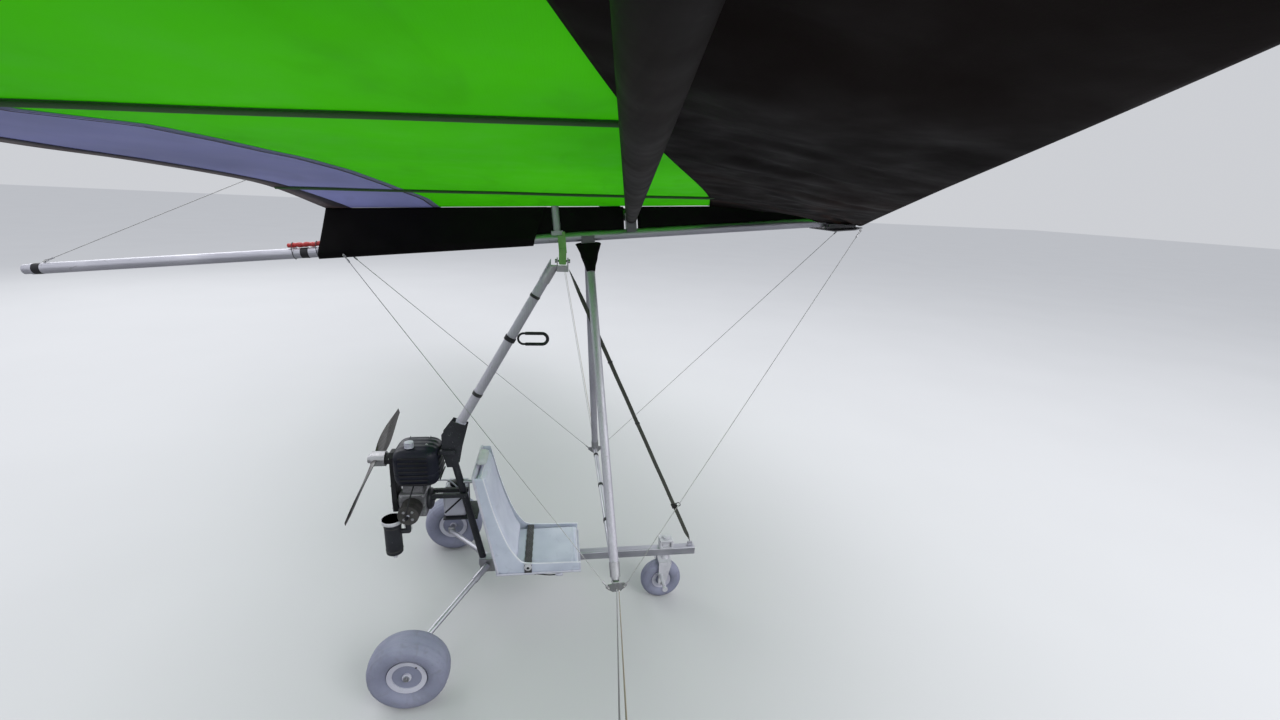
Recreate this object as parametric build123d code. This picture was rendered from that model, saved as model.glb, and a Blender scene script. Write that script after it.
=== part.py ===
"""Single-seat weight-shift microlight: a kingposted flexible wing over an open three-wheeled trike.

Millimetres. +X is forward, +Y is port, +Z is up. The ground is Z = 0 and the symmetry plane is Y = 0.
Trike pieces are placed from the hang point, which is at X = 0 before the last shift to the middle of
the length. Wing pieces are drawn with the wing keel level along X and its axis at Z = 0, the hang
point straight below it, and are then tilted nose up and lifted onto the trike.
"""
import math
import os

from build123d import *

os.makedirs("parts", exist_ok=True)

# Wing, in its own level frame
wing_tilt = 5.4
wing_keel_r = 25.0
keel_front_x = 1640.0
keel_rear_x = -2430.0
tail_plug_r = 22.0
tail_plug_long = 30.0
keel_above_hang = 60.0
nose_x = 1690.0
edge_back_per_out = 0.48
edge_rise_per_out = 0.135
edge_root_z = 30.0
edge_tube_r = 26.0
edge_tube_back = 34.0
edge_tube_down = 32.0
pocket_nose_bulge = 8.0
pocket_drop = 64.0
pocket_root_y = 34.0
skin = 4.0
lap_gap = 0.5
pocket_hem = 3.0
batten_r = 5.0
batten_stations = (450.0, 1780.0, 3100.0, 4100.0)

# Half-wing stations: distance out, depth of the under panel, height where it ends, bulge of the
# nose arc, trailing edge X, trailing edge height, width of the trailing band, sag of the pocket
STATION_COLUMNS = ("out", "depth", "mid_z", "bulge", "rear_x", "rear_z", "band", "sag")
STATIONS = (
    (0.0, 900.0, 120.0, 50.0, -1110.0, 206.0, 440.0, 0.0),
    (500.0, 800.0, 178.0, 52.0, -1130.0, 308.0, 330.0, 4.0),
    (1700.0, 690.0, 335.0, 42.0, -1300.0, 425.0, 150.0, 20.0),
    (2960.0, 480.0, 478.0, 30.0, -1340.0, 570.0, 110.0, 34.0),
    (4000.0, 360.0, 612.0, 22.0, -1450.0, 700.0, 90.0, -4.0),
    (4750.0, 290.0, 708.0, 16.0, -1560.0, 790.0, 80.0, -8.0),
)

# Wing frame
crossbar_r = 29.0
crossbar_centre_x = 366.0
crossbar_centre_z = 84.0
crossbar_root_y = 34.0
crossbar_tip_y = 3530.0
junction_y = 3600.0
crossbar_tip_drop = 76.0
kingpost_x = -20.0
kingpost_r = 19.0
kingpost_top_z = 800.0
stay_r = 1.5
stay_eye_r = 6.0
frame_apex_x = 135.0
frame_apex_y = 30.0
frame_apex_drop = 62.0
bar_half_width = 720.0
bar_x = 111.0
bar_drop = 1587.0
bar_r = 14.0
downtube_half_chord = 22.0
downtube_half_thick = 13.0
rear_stay_keel_x = -1060.0

# Hang joint
hang_z = 2210.0
roll_below_hang = 60.0
hang_bolt_r = 6.0
bolt_clearance = 0.05
hang_block_half_x = 19.0
hang_block_half_y = 20.0
hang_cheek_gap = 5.5
hang_cheek = 5.0
seat_gap = 0.3

# Trike frame
keel_box = 50.0
trike_keel_z = 335.0
trike_keel_rear = -490.0
trike_keel_front = 850.0
mast_r = 26.0
mast_foot_x = -610.0
mast_foot_z = 1150.0
post_r = 20.0
post_foot_x = -470.0
strap_width = 25.0
strap_thick = 3.0

# Main wheels and legs
main_wheel_r = 195.0
main_tyre_w = 160.0
main_rim_r = 86.0
main_wheel_x = -750.0
main_wheel_y = 640.0
main_rim_w = 110.0
axle_r = 8.0
leg_r = 15.0
leg_sleeve_r = 19.0
leg_root_x = -440.0
leg_root_y = 40.0
wheel_running_gap = 0.05

# Steered front wheel
front_wheel_r = 130.0
front_tyre_w = 84.0
front_rim_r = 52.0
front_rim_w = 56.0
head_x = 662.0
front_trail = 20.0
stem_r = 12.0
fork_gap = 10.0
fork_plate = 6.0
crown_thick = 12.0
peg_r = 11.0
peg_reach = 130.0

# Engine, drive and propeller
prop_x = -1020.0
prop_z = 1030.0
prop_r = 500.0
prop_angle = 10.0
prop_shaft_r = 10.0
crank_z = 770.0
case_front = -755.0
case_rear = -900.0
drive_thick = 26.0

# Seat
seat_half_w = 200.0
seat_shell_t = 12.0
pan_front_x = 116.0
pan_rear_x = -372.0
pan_top_z = 430.0
back_top_z = 1000.0
back_top_x = -482.0
back_foot_z = 408.0
cushion_gap = 0.4

# Fastenings
bolt_head_r = 10.0
bolt_head_high = 9.0
bolt_head_lift = 0.1
stand_off = 0.5

# The middle of the length becomes X = 0. The wing keel's ends reach furthest forward and back, the
# sail's nose a little further than the keel's.
tilt = math.radians(wing_tilt)
wing_origin = Vector(
    -keel_above_hang * math.sin(tilt), 0, hang_z + keel_above_hang * math.cos(tilt)
)


def wing_point(x, y, z):
    """A point of the level wing frame, once the wing sits tilted on the trike."""
    return Vector(
        wing_origin.X + x * math.cos(tilt) - z * math.sin(tilt),
        y,
        wing_origin.Z + x * math.sin(tilt) + z * math.cos(tilt),
    )


front_extent = wing_point(nose_x + pocket_nose_bulge, 0, edge_root_z - pocket_drop / 2).X
rear_extent = wing_point(keel_rear_x - tail_plug_long, 0, tail_plug_r).X
middle_x = (front_extent + rear_extent) / 2

to_shared = Location((-middle_x, 0, 0))
wing_to_shared = to_shared * Location(wing_origin, (0, -wing_tilt, 0))

parts = {}


def keep(name, *solids, wing=False):
    """Store the solids of one node at their final place."""
    place = wing_to_shared if wing else to_shared
    found = []
    for shape in solids:
        found += [solid.moved(place) for solid in shape.solids()]
    parts[name] = found


def rod(start, end, radius):
    """A round bar between two points."""
    axis = Vector(*end) - Vector(*start)
    plane = Plane(origin=Vector(*start), z_dir=axis)
    return Solid.extrude(Face(Wire.make_circle(radius, plane)), axis)


def tube(start, end, outer, inner):
    """A round pipe between two points."""
    return rod(start, end, outer) - rod(start, end, inner)


def block(x0, x1, y0, y1, z0, z1, rounding=0.0):
    """A box from its six sides, with its edges rounded."""
    solid = Pos((x0 + x1) / 2, (y0 + y1) / 2, (z0 + z1) / 2) * Box(x1 - x0, y1 - y0, z1 - z0)
    if rounding:
        solid = fillet(solid.edges(), rounding)
    return solid


def side_plate(points, y0, y1):
    """A plate with its outline in the XZ plane, from y0 to y1."""
    wire = Wire.make_polygon([Vector(x, y0, z) for x, z in points], close=True)
    return Solid.extrude(Face(wire), Vector(0, y1 - y0, 0))


def mirror_y(shape):
    """The same shape on the other side of the symmetry plane."""
    return shape.mirror(Plane.XZ)


def both(shape):
    """A port shape with its starboard twin."""
    return [shape, mirror_y(shape)]


def turned(points, x, y, z):
    """A round part about an axis along Y: points are distances along Y and radii."""
    wire = Wire.make_polygon([Vector(r, along, 0) for along, r in points], close=True)
    ring = Solid.revolve(Face(wire), 360, Axis.Y)
    return Pos(x, y, z) * ring


# Wing sections


def edge_x(out):
    """X of the leading edge at a distance out from the symmetry plane."""
    return nose_x - edge_back_per_out * out


def edge_z(out):
    """Height of the leading edge at a distance out from the symmetry plane."""
    return edge_root_z + edge_rise_per_out * out


def station(out):
    """The section values at any distance out, straight between the listed stations."""
    rows = [dict(zip(STATION_COLUMNS, row)) for row in STATIONS]
    for inner, outer in zip(rows, rows[1:]):
        if out <= outer["out"] or outer is rows[-1]:
            share = (out - inner["out"]) / (outer["out"] - inner["out"])
            row = {name: inner[name] + share * (outer[name] - inner[name]) for name in inner}
            break
    row["out"] = out
    row["edge_x"] = edge_x(out)
    row["edge_z"] = edge_z(out)
    row["mid_x"] = row["edge_x"] - row["depth"]
    reach = row["mid_x"] - row["rear_x"]
    share = 1 - row["band"] / reach
    row["band_x"] = row["mid_x"] - share * reach
    row["band_z"] = row["mid_z"] + share * (row["rear_z"] - row["mid_z"])
    row["crest_x"] = (row["edge_x"] + row["mid_x"]) / 2
    row["crest_z"] = (row["edge_z"] + row["mid_z"]) / 2 + row["bulge"]
    return row


def cloth_top(row, x):
    """Height of the cloth's upper face on the nose arc of a section."""
    ax, az = row["edge_x"], row["edge_z"]
    bx, bz = row["crest_x"] - ax, row["crest_z"] - az
    cx, cz = row["mid_x"] - ax, row["mid_z"] - az
    area = 2 * (bx * cz - bz * cx)
    mid_x = (cz * (bx * bx + bz * bz) - bz * (cx * cx + cz * cz)) / area
    mid_z = (bx * (cx * cx + cz * cz) - cx * (bx * bx + bz * bz)) / area
    radius = math.hypot(mid_x, mid_z)
    return az + mid_z + math.sqrt(radius**2 - (x - ax - mid_x) ** 2) + skin


def at(row, x, z):
    """A point of a section's plane."""
    return Vector(x, row["out"], z)


def sail_wire(row):
    """Outline of the cloth from the leading edge to the trailing band."""
    low = [
        at(row, row["edge_x"], row["edge_z"]),
        at(row, row["crest_x"], row["crest_z"]),
        at(row, row["mid_x"], row["mid_z"]),
        at(row, row["band_x"], row["band_z"]),
    ]
    up = [point + Vector(0, 0, skin) for point in low]
    return Wire([
        Edge.make_three_point_arc(low[0], low[1], low[2]),
        Edge.make_line(low[2], low[3]),
        Edge.make_line(low[3], up[3]),
        Edge.make_line(up[3], up[2]),
        Edge.make_three_point_arc(up[2], up[1], up[0]),
        Edge.make_line(up[0], low[0]),
    ])


def band_wire(row):
    """Outline of the trailing band."""
    low_front = at(row, row["band_x"], row["band_z"])
    low_rear = at(row, row["rear_x"], row["rear_z"])
    rise = Vector(0, 0, skin)
    return Wire.make_polygon([low_front, low_rear, low_rear + rise, low_front + rise], close=True)


def pocket_wire(row):
    """Outline of the leading edge pocket and its under panel."""
    gap = Vector(0, 0, -lap_gap)
    front = at(row, row["edge_x"], row["edge_z"]) + gap
    crest = at(row, row["crest_x"], row["crest_z"]) + gap
    rear = at(row, row["mid_x"], row["mid_z"]) + gap
    drop = pocket_drop + row["sag"]
    bottom = at(row, row["edge_x"] - edge_tube_back, row["edge_z"] - drop)
    nose = at(row, row["edge_x"] + pocket_nose_bulge, row["edge_z"] - drop / 2)
    rear_low = rear - Vector(0, 0, pocket_hem)
    return Wire([
        Edge.make_three_point_arc(front, crest, rear),
        Edge.make_line(rear, rear_low),
        Edge.make_line(rear_low, bottom),
        Edge.make_three_point_arc(bottom, nose, front),
    ])


def half_wing(outline, start=0.0):
    """A port panel through all stations."""
    outs = [start] + [row[0] for row in STATIONS[1:]]
    return Solid.make_loft([outline(station(out)) for out in outs], ruled=True)


# Sail, pockets, trailing bands


def tube_axis(out):
    """A point on the leading edge tube's axis."""
    return (edge_x(out) - edge_tube_back, out, edge_z(out) - edge_tube_down)


tip_out = STATIONS[-1][0]
edge_tube_inner = 62.0
edge_tube = rod(tube_axis(edge_tube_inner), tube_axis(tip_out), edge_tube_r)
edge_bore = rod(tube_axis(-edge_tube_inner), tube_axis(tip_out + 10), edge_tube_r + seat_gap)

window_half = 72.0
window = block(
    tube_axis(junction_y)[0] - 130, tube_axis(junction_y)[0] + 120,
    junction_y - window_half, junction_y + window_half,
    tube_axis(junction_y)[2] - 90, tube_axis(junction_y)[2] + edge_tube_r * 0.5,
)
kingpost_slot = kingpost_r + 5
kingpost_hole = block(
    kingpost_x - kingpost_slot, kingpost_x + kingpost_slot, -kingpost_slot, kingpost_slot, 0, kingpost_top_z
)
sail = half_wing(sail_wire)
band = half_wing(band_wire)
pocket = half_wing(pocket_wire, pocket_root_y) - edge_bore - window

keep("sail_left", sail - kingpost_hole, wing=True)
keep("sail_right", mirror_y(sail) - kingpost_hole, wing=True)
keep("leading_pocket_left", pocket, wing=True)
keep("leading_pocket_right", mirror_y(pocket), wing=True)
keep("trailing_bands", *both(band), wing=True)
keep("leading_edges", *both(edge_tube), wing=True)

# Battens under the cloth, from the under panel's edge to the trailing edge

batten_drop = batten_r + lap_gap
battens = []
for out in batten_stations:
    row = station(out)
    slope = (row["rear_z"] - row["mid_z"]) / (row["rear_x"] - row["mid_x"])
    front_x = row["mid_x"] - 3 * batten_r
    dihedral = (station(out + 20)["mid_z"] - station(out - 20)["mid_z"]) / 40
    drop = batten_drop * math.sqrt(1 + slope**2 + dihedral**2)
    front = (front_x, out, row["mid_z"] + slope * (front_x - row["mid_x"]) - drop)
    rear = (row["rear_x"], out, row["rear_z"] - drop)
    battens.append(rod(front, rear, batten_r))
keep("battens", *battens, *[mirror_y(batten) for batten in battens], wing=True)

# Wing keel, nose plate and keel pocket

wing_keel = rod((keel_rear_x, 0, 0), (keel_front_x, 0, 0), wing_keel_r)
tail_plug = rod((keel_rear_x - tail_plug_long, 0, 0), (keel_rear_x, 0, 0), tail_plug_r)
keep("wing_keel", wing_keel + tail_plug, wing=True)

keel_clearance = rod((keel_rear_x, 0, 0), (keel_front_x, 0, 0), wing_keel_r + seat_gap)
nose_plate_t = 5.0
nose_plate_long = 210.0
nose_plate_half = 150.0
nose_plate_corner = 90.0
nose_plate_top = edge_root_z - pocket_drop - 2.0
nose_spacer_front = keel_front_x - 20
nose_spacer_rear = keel_front_x - 180
nose_spacer_half = 24.0
nose_plate = block(
    keel_front_x - nose_plate_long, keel_front_x, -nose_plate_half, nose_plate_half,
    nose_plate_top - nose_plate_t, nose_plate_top,
)
nose_plate = chamfer(nose_plate.edges().filter_by(Axis.Z).group_by(Axis.X)[-1], nose_plate_corner)
nose_spacer = block(
    nose_spacer_rear, nose_spacer_front, -nose_spacer_half, nose_spacer_half, nose_plate_top, 0
)
nose_plate = nose_plate + (nose_spacer - keel_clearance)

pocket_side = 33.0
root = station(0)
root_slope = (root["rear_z"] - root["mid_z"]) / (root["rear_x"] - root["mid_x"])


def root_z(x):
    """Height of the cloth's lower face on the symmetry plane, aft of the under panel."""
    return root["mid_z"] + root_slope * (x - root["mid_x"])


pocket_front_x = -150.0
pocket_front_rake = 90.0
pocket_rear_rake = 80.0
pocket_below_keel = 10.0
pocket_rear_x = root["rear_x"]
fin = side_plate(
    [
        (pocket_front_x + pocket_front_rake, root_z(pocket_front_x + pocket_front_rake) - lap_gap),
        (pocket_rear_x, root_z(pocket_rear_x) - lap_gap),
        (pocket_rear_x - pocket_rear_rake, -wing_keel_r - pocket_below_keel),
        (pocket_front_x, -wing_keel_r - pocket_below_keel),
    ],
    -pocket_side,
    pocket_side,
)
keep("keel_pocket", fin - keel_clearance, wing=True)

# Crossbar halves, their centre hinge on the keel and the brackets at the leading edges

crossbar_start = (crossbar_centre_x, crossbar_root_y, crossbar_centre_z)
junction_axis = tube_axis(junction_y)
crossbar_end_full = (junction_axis[0], junction_y, junction_axis[2] - crossbar_tip_drop)
crossbar_axis = Vector(*crossbar_end_full) - Vector(*crossbar_start)
crossbar_long = rod(Vector(*crossbar_start) - crossbar_axis * 0.02, crossbar_end_full, crossbar_r)
crossbar_cut = 900.0
crossbar_span = block(
    -crossbar_cut, crossbar_cut, crossbar_root_y, crossbar_tip_y, -crossbar_cut, crossbar_cut
)
crossbar = crossbar_long & crossbar_span
tip_share = (crossbar_tip_y - crossbar_root_y) / (junction_y - crossbar_root_y)
crossbar_end = Vector(*crossbar_start) + crossbar_axis * tip_share
keep("crossbars", *both(crossbar), wing=True)

hinge_half = crossbar_root_y - 6
hinge_half_x = 26.0
hinge_over_bar = 20.0
hinge_pin_r = 12.0
hinge = block(
    crossbar_centre_x - hinge_half_x, crossbar_centre_x + hinge_half_x, -hinge_half, hinge_half,
    wing_keel_r * 0.5, crossbar_centre_z + hinge_over_bar,
)
hinge = hinge - keel_clearance
hinge_pins = [
    rod(
        (crossbar_centre_x, side * hinge_half, crossbar_centre_z),
        (crossbar_centre_x, side * (crossbar_root_y - 0.2), crossbar_centre_z),
        hinge_pin_r,
    )
    for side in (1, -1)
]
hinge = hinge + hinge_pins[0] + hinge_pins[1]

bracket_half_x = 34.0
bracket_plate = 4.0
bracket_below = 26.0
bracket_beyond = 30.0
bracket_saddle = 6.0
bracket_roof = 34.0
bracket_pin_r = 14.0
bracket_low = crossbar_end_full[2] - bracket_below
bracket = block(
    junction_axis[0] - bracket_half_x, junction_axis[0] + bracket_half_x,
    crossbar_tip_y + 6, junction_y + bracket_beyond,
    bracket_low, junction_axis[2] - bracket_saddle,
)
edge_tube_clearance = rod(
    tube_axis(junction_y - 200), tube_axis(junction_y + 200), edge_tube_r + seat_gap
)
bracket = bracket - edge_tube_clearance
bracket = bracket - block(
    junction_axis[0] - bracket_half_x + bracket_plate, junction_axis[0] + bracket_half_x - bracket_plate,
    crossbar_tip_y, junction_y + bracket_beyond + 10,
    bracket_low + bracket_plate, junction_axis[2] - bracket_roof,
)
bracket_pin = rod(
    (crossbar_end.X, crossbar_tip_y + seat_gap, crossbar_end.Z),
    (crossbar_end.X, junction_y + 20, crossbar_end.Z),
    bracket_pin_r,
)
keep("crossbar_brackets", *both(bracket + bracket_pin), wing=True)

# Kingpost and its cap

kingpost_foot = wing_keel_r + 12
kingpost = rod((kingpost_x, 0, kingpost_foot), (kingpost_x, 0, kingpost_top_z), kingpost_r)
saddle_half_x = 30.0
saddle_half_y = 22.0
kingpost_saddle = block(
    kingpost_x - saddle_half_x, kingpost_x + saddle_half_x, -saddle_half_y, saddle_half_y,
    wing_keel_r * 0.6, kingpost_foot,
)
kingpost_saddle = kingpost_saddle - keel_clearance
cap_height = 26.0
cap_r = kingpost_r + 5
kingpost_cap = rod(
    (kingpost_x, 0, kingpost_top_z), (kingpost_x, 0, kingpost_top_z + cap_height), cap_r
)
keep("kingpost", kingpost + kingpost_saddle + kingpost_cap, wing=True)

# Control frame

apex = (frame_apex_x, frame_apex_y, -frame_apex_drop)
corner = (bar_x, bar_half_width, -bar_drop)
corner_dir = (Vector(*corner) - Vector(*apex)).normalized()
corner_inset = 26.0
downtube_end = Vector(*corner) - corner_dir * corner_inset


def streamlined(start, end, half_chord, half_thick):
    """A bar of oval section, its long axis fore and aft."""
    axis = Vector(*end) - Vector(*start)
    plane = Plane(origin=Vector(*start), x_dir=Vector(1, 0, 0), z_dir=axis)
    face = plane * Ellipse(half_chord, half_thick)
    return Solid.extrude(face.face(), axis)


downtube = streamlined(apex, downtube_end, downtube_half_chord, downtube_half_thick)
keep("downtubes", *both(downtube), wing=True)

elbow_in = 24.0
elbow_out = 22.0
elbow_half_x = 19.0
elbow_half_z = 17.0
base_bar = rod(
    (bar_x, -bar_half_width + elbow_in, -bar_drop), (bar_x, bar_half_width - elbow_in, -bar_drop), bar_r
)
keep("base_bar", base_bar, wing=True)

sleeve_long = 70.0
sleeve_wall = 3.0
sleeve_start = downtube_end - corner_dir * sleeve_long
sleeve_outside = streamlined(
    sleeve_start, downtube_end, downtube_half_chord + sleeve_wall, downtube_half_thick + sleeve_wall
)
sleeve_inside = streamlined(sleeve_start, downtube_end, downtube_half_chord, downtube_half_thick)
elbow = block(
    bar_x - elbow_half_x, bar_x + elbow_half_x, bar_half_width - elbow_in, bar_half_width + elbow_out,
    -bar_drop - elbow_half_z, -bar_drop + elbow_half_z, 4,
)
elbow_root = streamlined(downtube_end, corner, downtube_half_chord - 4, downtube_half_thick)
tang_y = bar_half_width + elbow_out
tang_sunk = 1.0
tang_thick = 3.0

# Outline of the stay tang: X from the base bar and height over it
TANG = ((-52, -6), (-20, -34), (20, -34), (52, -6), (40, 10), (-40, 10))
tang = side_plate([(bar_x + x, -bar_drop + z) for x, z in TANG], tang_y - tang_sunk, tang_y + tang_thick)
corner_fitting = (sleeve_outside - sleeve_inside) + elbow + elbow_root + tang
keep("corner_fittings", *both(corner_fitting), wing=True)

apex_half_x = 34.0
apex_half_y = 31.0
apex_hollow_half_x = 24.0
apex_hollow_half_y = 22.0
apex_bracket = block(
    frame_apex_x - apex_half_x, frame_apex_x + apex_half_x, -apex_half_y, apex_half_y,
    -frame_apex_drop + 4, 4,
)
apex_bracket = (apex_bracket - keel_clearance) - block(
    frame_apex_x - apex_hollow_half_x, frame_apex_x + apex_hollow_half_x,
    -apex_hollow_half_y, apex_hollow_half_y, -frame_apex_drop, -wing_keel_r - 8,
)
apex_pads = streamlined(
    Vector(*apex) - corner_dir * 22, Vector(*apex) - corner_dir * 0.2,
    downtube_half_chord - 5, downtube_half_thick - 5,
)
apex_bracket = apex_bracket + apex_pads + mirror_y(apex_pads)
keep("keel_fittings", nose_plate, hinge, apex_bracket, wing=True)

# Cloth cover panels over the tops of the downtubes

cover_t = 2.5
cover_gap = 0.4
cover_up = 24.0
cover_down = 125.0
cover_top_half = 66.0
cover_foot_front = 16.0
cover_foot_rear = 12.0
splay = math.atan2(corner_dir.Y, -corner_dir.Z)
cover_normal = Vector(0, math.cos(splay), math.sin(splay))
cover_side = Vector(*apex) + cover_normal * (downtube_half_thick + cover_gap)
cover_x = Vector(1, 0, 0)
cover_head = cover_side - corner_dir * cover_up
cover_foot = cover_side + corner_dir * cover_down
cover_corners = [
    cover_head - cover_x * cover_top_half,
    cover_head + cover_x * cover_top_half,
    cover_foot + cover_x * cover_foot_front,
    cover_foot - cover_x * cover_foot_rear,
]
cover = Solid.extrude(Face(Wire.make_polygon(cover_corners, close=True)), cover_normal * cover_t)
keep("apex_cover", *both(cover), wing=True)

# Hang bracket on the wing keel, with its pitch bolt

cheek_in = hang_block_half_y + hang_cheek_gap
cheek_out = max(cheek_in + hang_cheek, wing_keel_r + seat_gap + hang_cheek)
hang_bracket_half_x = 20.0
hang_bracket_below = 17.0
hang_bracket_over = 6.0
kingpost_room = 20.0
hang_bracket = block(
    -hang_bracket_half_x, hang_bracket_half_x, -cheek_out, cheek_out,
    -keel_above_hang - hang_bracket_below, wing_keel_r + hang_bracket_over,
)
hang_bracket = hang_bracket - block(
    -hang_bracket_half_x - 1, hang_bracket_half_x + 1, -cheek_in - seat_gap, cheek_in + seat_gap,
    -keel_above_hang - hang_bracket_below - 1, 0,
)
hang_bracket = hang_bracket - keel_clearance
hang_bracket = hang_bracket - rod(
    (kingpost_x, 0, wing_keel_r * 0.5), (kingpost_x, 0, kingpost_top_z), kingpost_r + kingpost_room
)
pitch_bolt_end = cheek_out + bolt_head_high
pitch_bolt = rod(
    (0, -pitch_bolt_end, -keel_above_hang), (0, pitch_bolt_end, -keel_above_hang), hang_bolt_r
)
bolt_head = [
    rod(
        (0, side * (cheek_out + bolt_head_lift), -keel_above_hang),
        (0, side * pitch_bolt_end, -keel_above_hang), bolt_head_r,
    )
    for side in (1, -1)
]
keep("hang_bracket", hang_bracket + pitch_bolt + bolt_head[0] + bolt_head[1], wing=True)

# Swivel block between wing and mast

roll_z = hang_z - roll_below_hang
swivel_below = 17.0
swivel_above = 15.0
swivel_corner = 6.0
bore_reach = 60.0
swivel = block(
    -hang_block_half_x, hang_block_half_x, -hang_block_half_y, hang_block_half_y,
    roll_z - swivel_below, hang_z + swivel_above,
)
swivel = fillet(swivel.edges().filter_by(Axis.Y), swivel_corner)
swivel = swivel - rod((0, -bore_reach, hang_z), (0, bore_reach, hang_z), hang_bolt_r + bolt_clearance)
swivel = swivel - rod((-bore_reach, 0, roll_z), (bore_reach, 0, roll_z), hang_bolt_r + bolt_clearance)
keep("swivel_block", swivel)

# Mast with its head, and the roll bolt

head_in = hang_block_half_x + hang_cheek_gap
head_cheek = 6.0
head_out = head_in + head_cheek
mast_below_hang = 135.0
mast_dir = Vector(-mast_foot_x, 0, hang_z - mast_foot_z).normalized()
mast_top = Vector(0, 0, hang_z) - mast_dir * mast_below_hang
mast = rod((mast_foot_x, 0, mast_foot_z), mast_top, mast_r)
keep("mast", mast)

head_half_y = 17.0
head_room = 8.0
head_floor_thick = 30.0
head_above_roll = 16.0
socket_reach = 60.0
socket_wall = 3.0
socket_gap = 0.2
head_floor = roll_z - swivel_below - head_room
mast_head = block(
    -head_out, head_out, -head_half_y, head_half_y, head_floor - head_floor_thick, roll_z + head_above_roll
)
mast_head = mast_head - block(
    -head_in, head_in, -head_half_y - 1, head_half_y + 1, head_floor, roll_z + head_above_roll + 1
)
socket_end = mast_top + mast_dir * socket_gap
socket = rod(socket_end, mast_top + mast_dir * socket_reach, mast_r + socket_wall)
socket = socket + rod(mast_top - mast_dir * socket_reach, socket_end, mast_r + socket_wall)
socket = socket - rod(mast_top - mast_dir * (socket_reach + 1), socket_end, mast_r)
socket = socket - block(
    -bore_reach, bore_reach, -bore_reach, bore_reach, head_floor, roll_z + bore_reach
)
mast_head = (mast_head + socket) - rod(mast_top - mast_dir * 300, socket_end, mast_r)
roll_bolt_end = head_out + bolt_head_high
roll_bolt = rod((-roll_bolt_end, 0, roll_z), (roll_bolt_end, 0, roll_z), hang_bolt_r)
strap_top = Vector(head_out + strap_thick * 0.6, 0, head_floor - 16)
roll_heads = [
    rod((side * (head_out + bolt_head_lift), 0, roll_z), (side * roll_bolt_end, 0, roll_z), bolt_head_r)
    for side in (1, -1)
]
keep("mast_head", mast_head + roll_bolt + roll_heads[0] + roll_heads[1])

# Trike keel with its steering bore

keel_low = trike_keel_z - keel_box / 2
keel_high = trike_keel_z + keel_box / 2
trike_keel = block(
    trike_keel_rear, trike_keel_front, -keel_box / 2, keel_box / 2, keel_low, keel_high
)
trike_keel = fillet(trike_keel.edges().filter_by(Axis.X), 5)
head_bore = rod((head_x, 0, keel_low - 10), (head_x, 0, keel_high + 100), stem_r + bolt_clearance)
trike_keel = trike_keel - head_bore

head_high = 62.0
head_half_long = 42.0
head_half_wide = 34.0
head_web_half = 20.0
head_slot_half = 30.0
head_slot_floor = 14.0
head_slot_roof = 10.0
head_top = keel_high + head_high
steering_head = block(
    head_x - head_half_long, head_x + head_half_long, -head_half_wide, head_half_wide,
    keel_high, head_top, 3,
)
for y0, y1 in ((-head_half_wide - 6, -head_web_half), (head_web_half, head_half_wide + 6)):
    steering_head = steering_head - block(
        head_x - head_slot_half, head_x + head_slot_half, y0, y1,
        keel_high + head_slot_floor, head_top - head_slot_roof,
    )
keep("steering_head", steering_head - head_bore)

# Front shackle and the tension strap from the mast head

shackle_x = trike_keel_front - 30
shackle_high = 30.0
shackle_half_x = 16.0
shackle_half_y = 4.0
shackle_hole_r = 5.0
shackle_hole_z = keel_high + shackle_high / 2
shackle = block(
    shackle_x - shackle_half_x, shackle_x + shackle_half_x, -shackle_half_y, shackle_half_y,
    keel_high, keel_high + shackle_high, 2,
)
shackle = shackle - rod(
    (shackle_x, -2 * shackle_half_y, shackle_hole_z), (shackle_x, 2 * shackle_half_y, shackle_hole_z),
    shackle_hole_r,
)
keep("trike_keel", trike_keel + shackle)
strap_foot = Vector(shackle_x, 0, keel_high + shackle_high)
strap_dir = (strap_foot - strap_top).normalized()
strap_plane = Plane(origin=strap_top + strap_dir * 1.0, x_dir=Vector(0, 1, 0), z_dir=strap_dir)
strap_face = strap_plane * Rectangle(strap_width, strap_thick)
strap_length = (strap_foot - strap_top).length - 6
keep("front_strap", Solid.extrude(strap_face.face(), strap_dir * strap_length))

# Rear post, mast foot plates

post_foot = Vector(post_foot_x, 0, keel_high)
post_top = Vector(mast_foot_x, 0, mast_foot_z) - mast_dir * 36
post_dir = (post_top - post_foot).normalized()
post = rod(post_foot - post_dir * post_r, post_top, post_r)
post = post - block(-900, 0, -60, 60, keel_high - 60, keel_high)
keep("rear_post", post)

foot_plate_thick = 4.0
plate_in = mast_r + seat_gap
plate_out = plate_in + foot_plate_thick

# Outline of a mast foot plate: X and height from the mast's foot
FOOT_PLATE = ((-50, 30), (10, 110), (90, 80), (50, -70), (30, -170), (-30, -170), (-52, -70))
foot_plate = side_plate([(mast_foot_x + x, mast_foot_z + z) for x, z in FOOT_PLATE], plate_in, plate_out)
keep("mast_foot_plates", *both(foot_plate))

# Main legs, axles and wheels

leg_over_keel_floor = 10.0
leg_sleeve_long = 120.0
knuckle_in = 22.0
knuckle_to_leg = 18.0
leg_root = (leg_root_x, leg_root_y, keel_low + leg_over_keel_floor)
knuckle_y = main_wheel_y - main_tyre_w / 2 - knuckle_in
leg_tip = (main_wheel_x, knuckle_y - knuckle_to_leg, main_wheel_r)
leg_dir = (Vector(*leg_tip) - Vector(*leg_root)).normalized()
leg = rod(leg_root, leg_tip, leg_r)
sleeve_tube = tube(leg_root, Vector(*leg_root) + leg_dir * leg_sleeve_long, leg_sleeve_r, leg_r)
keep("legs", *both(leg + sleeve_tube))

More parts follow.
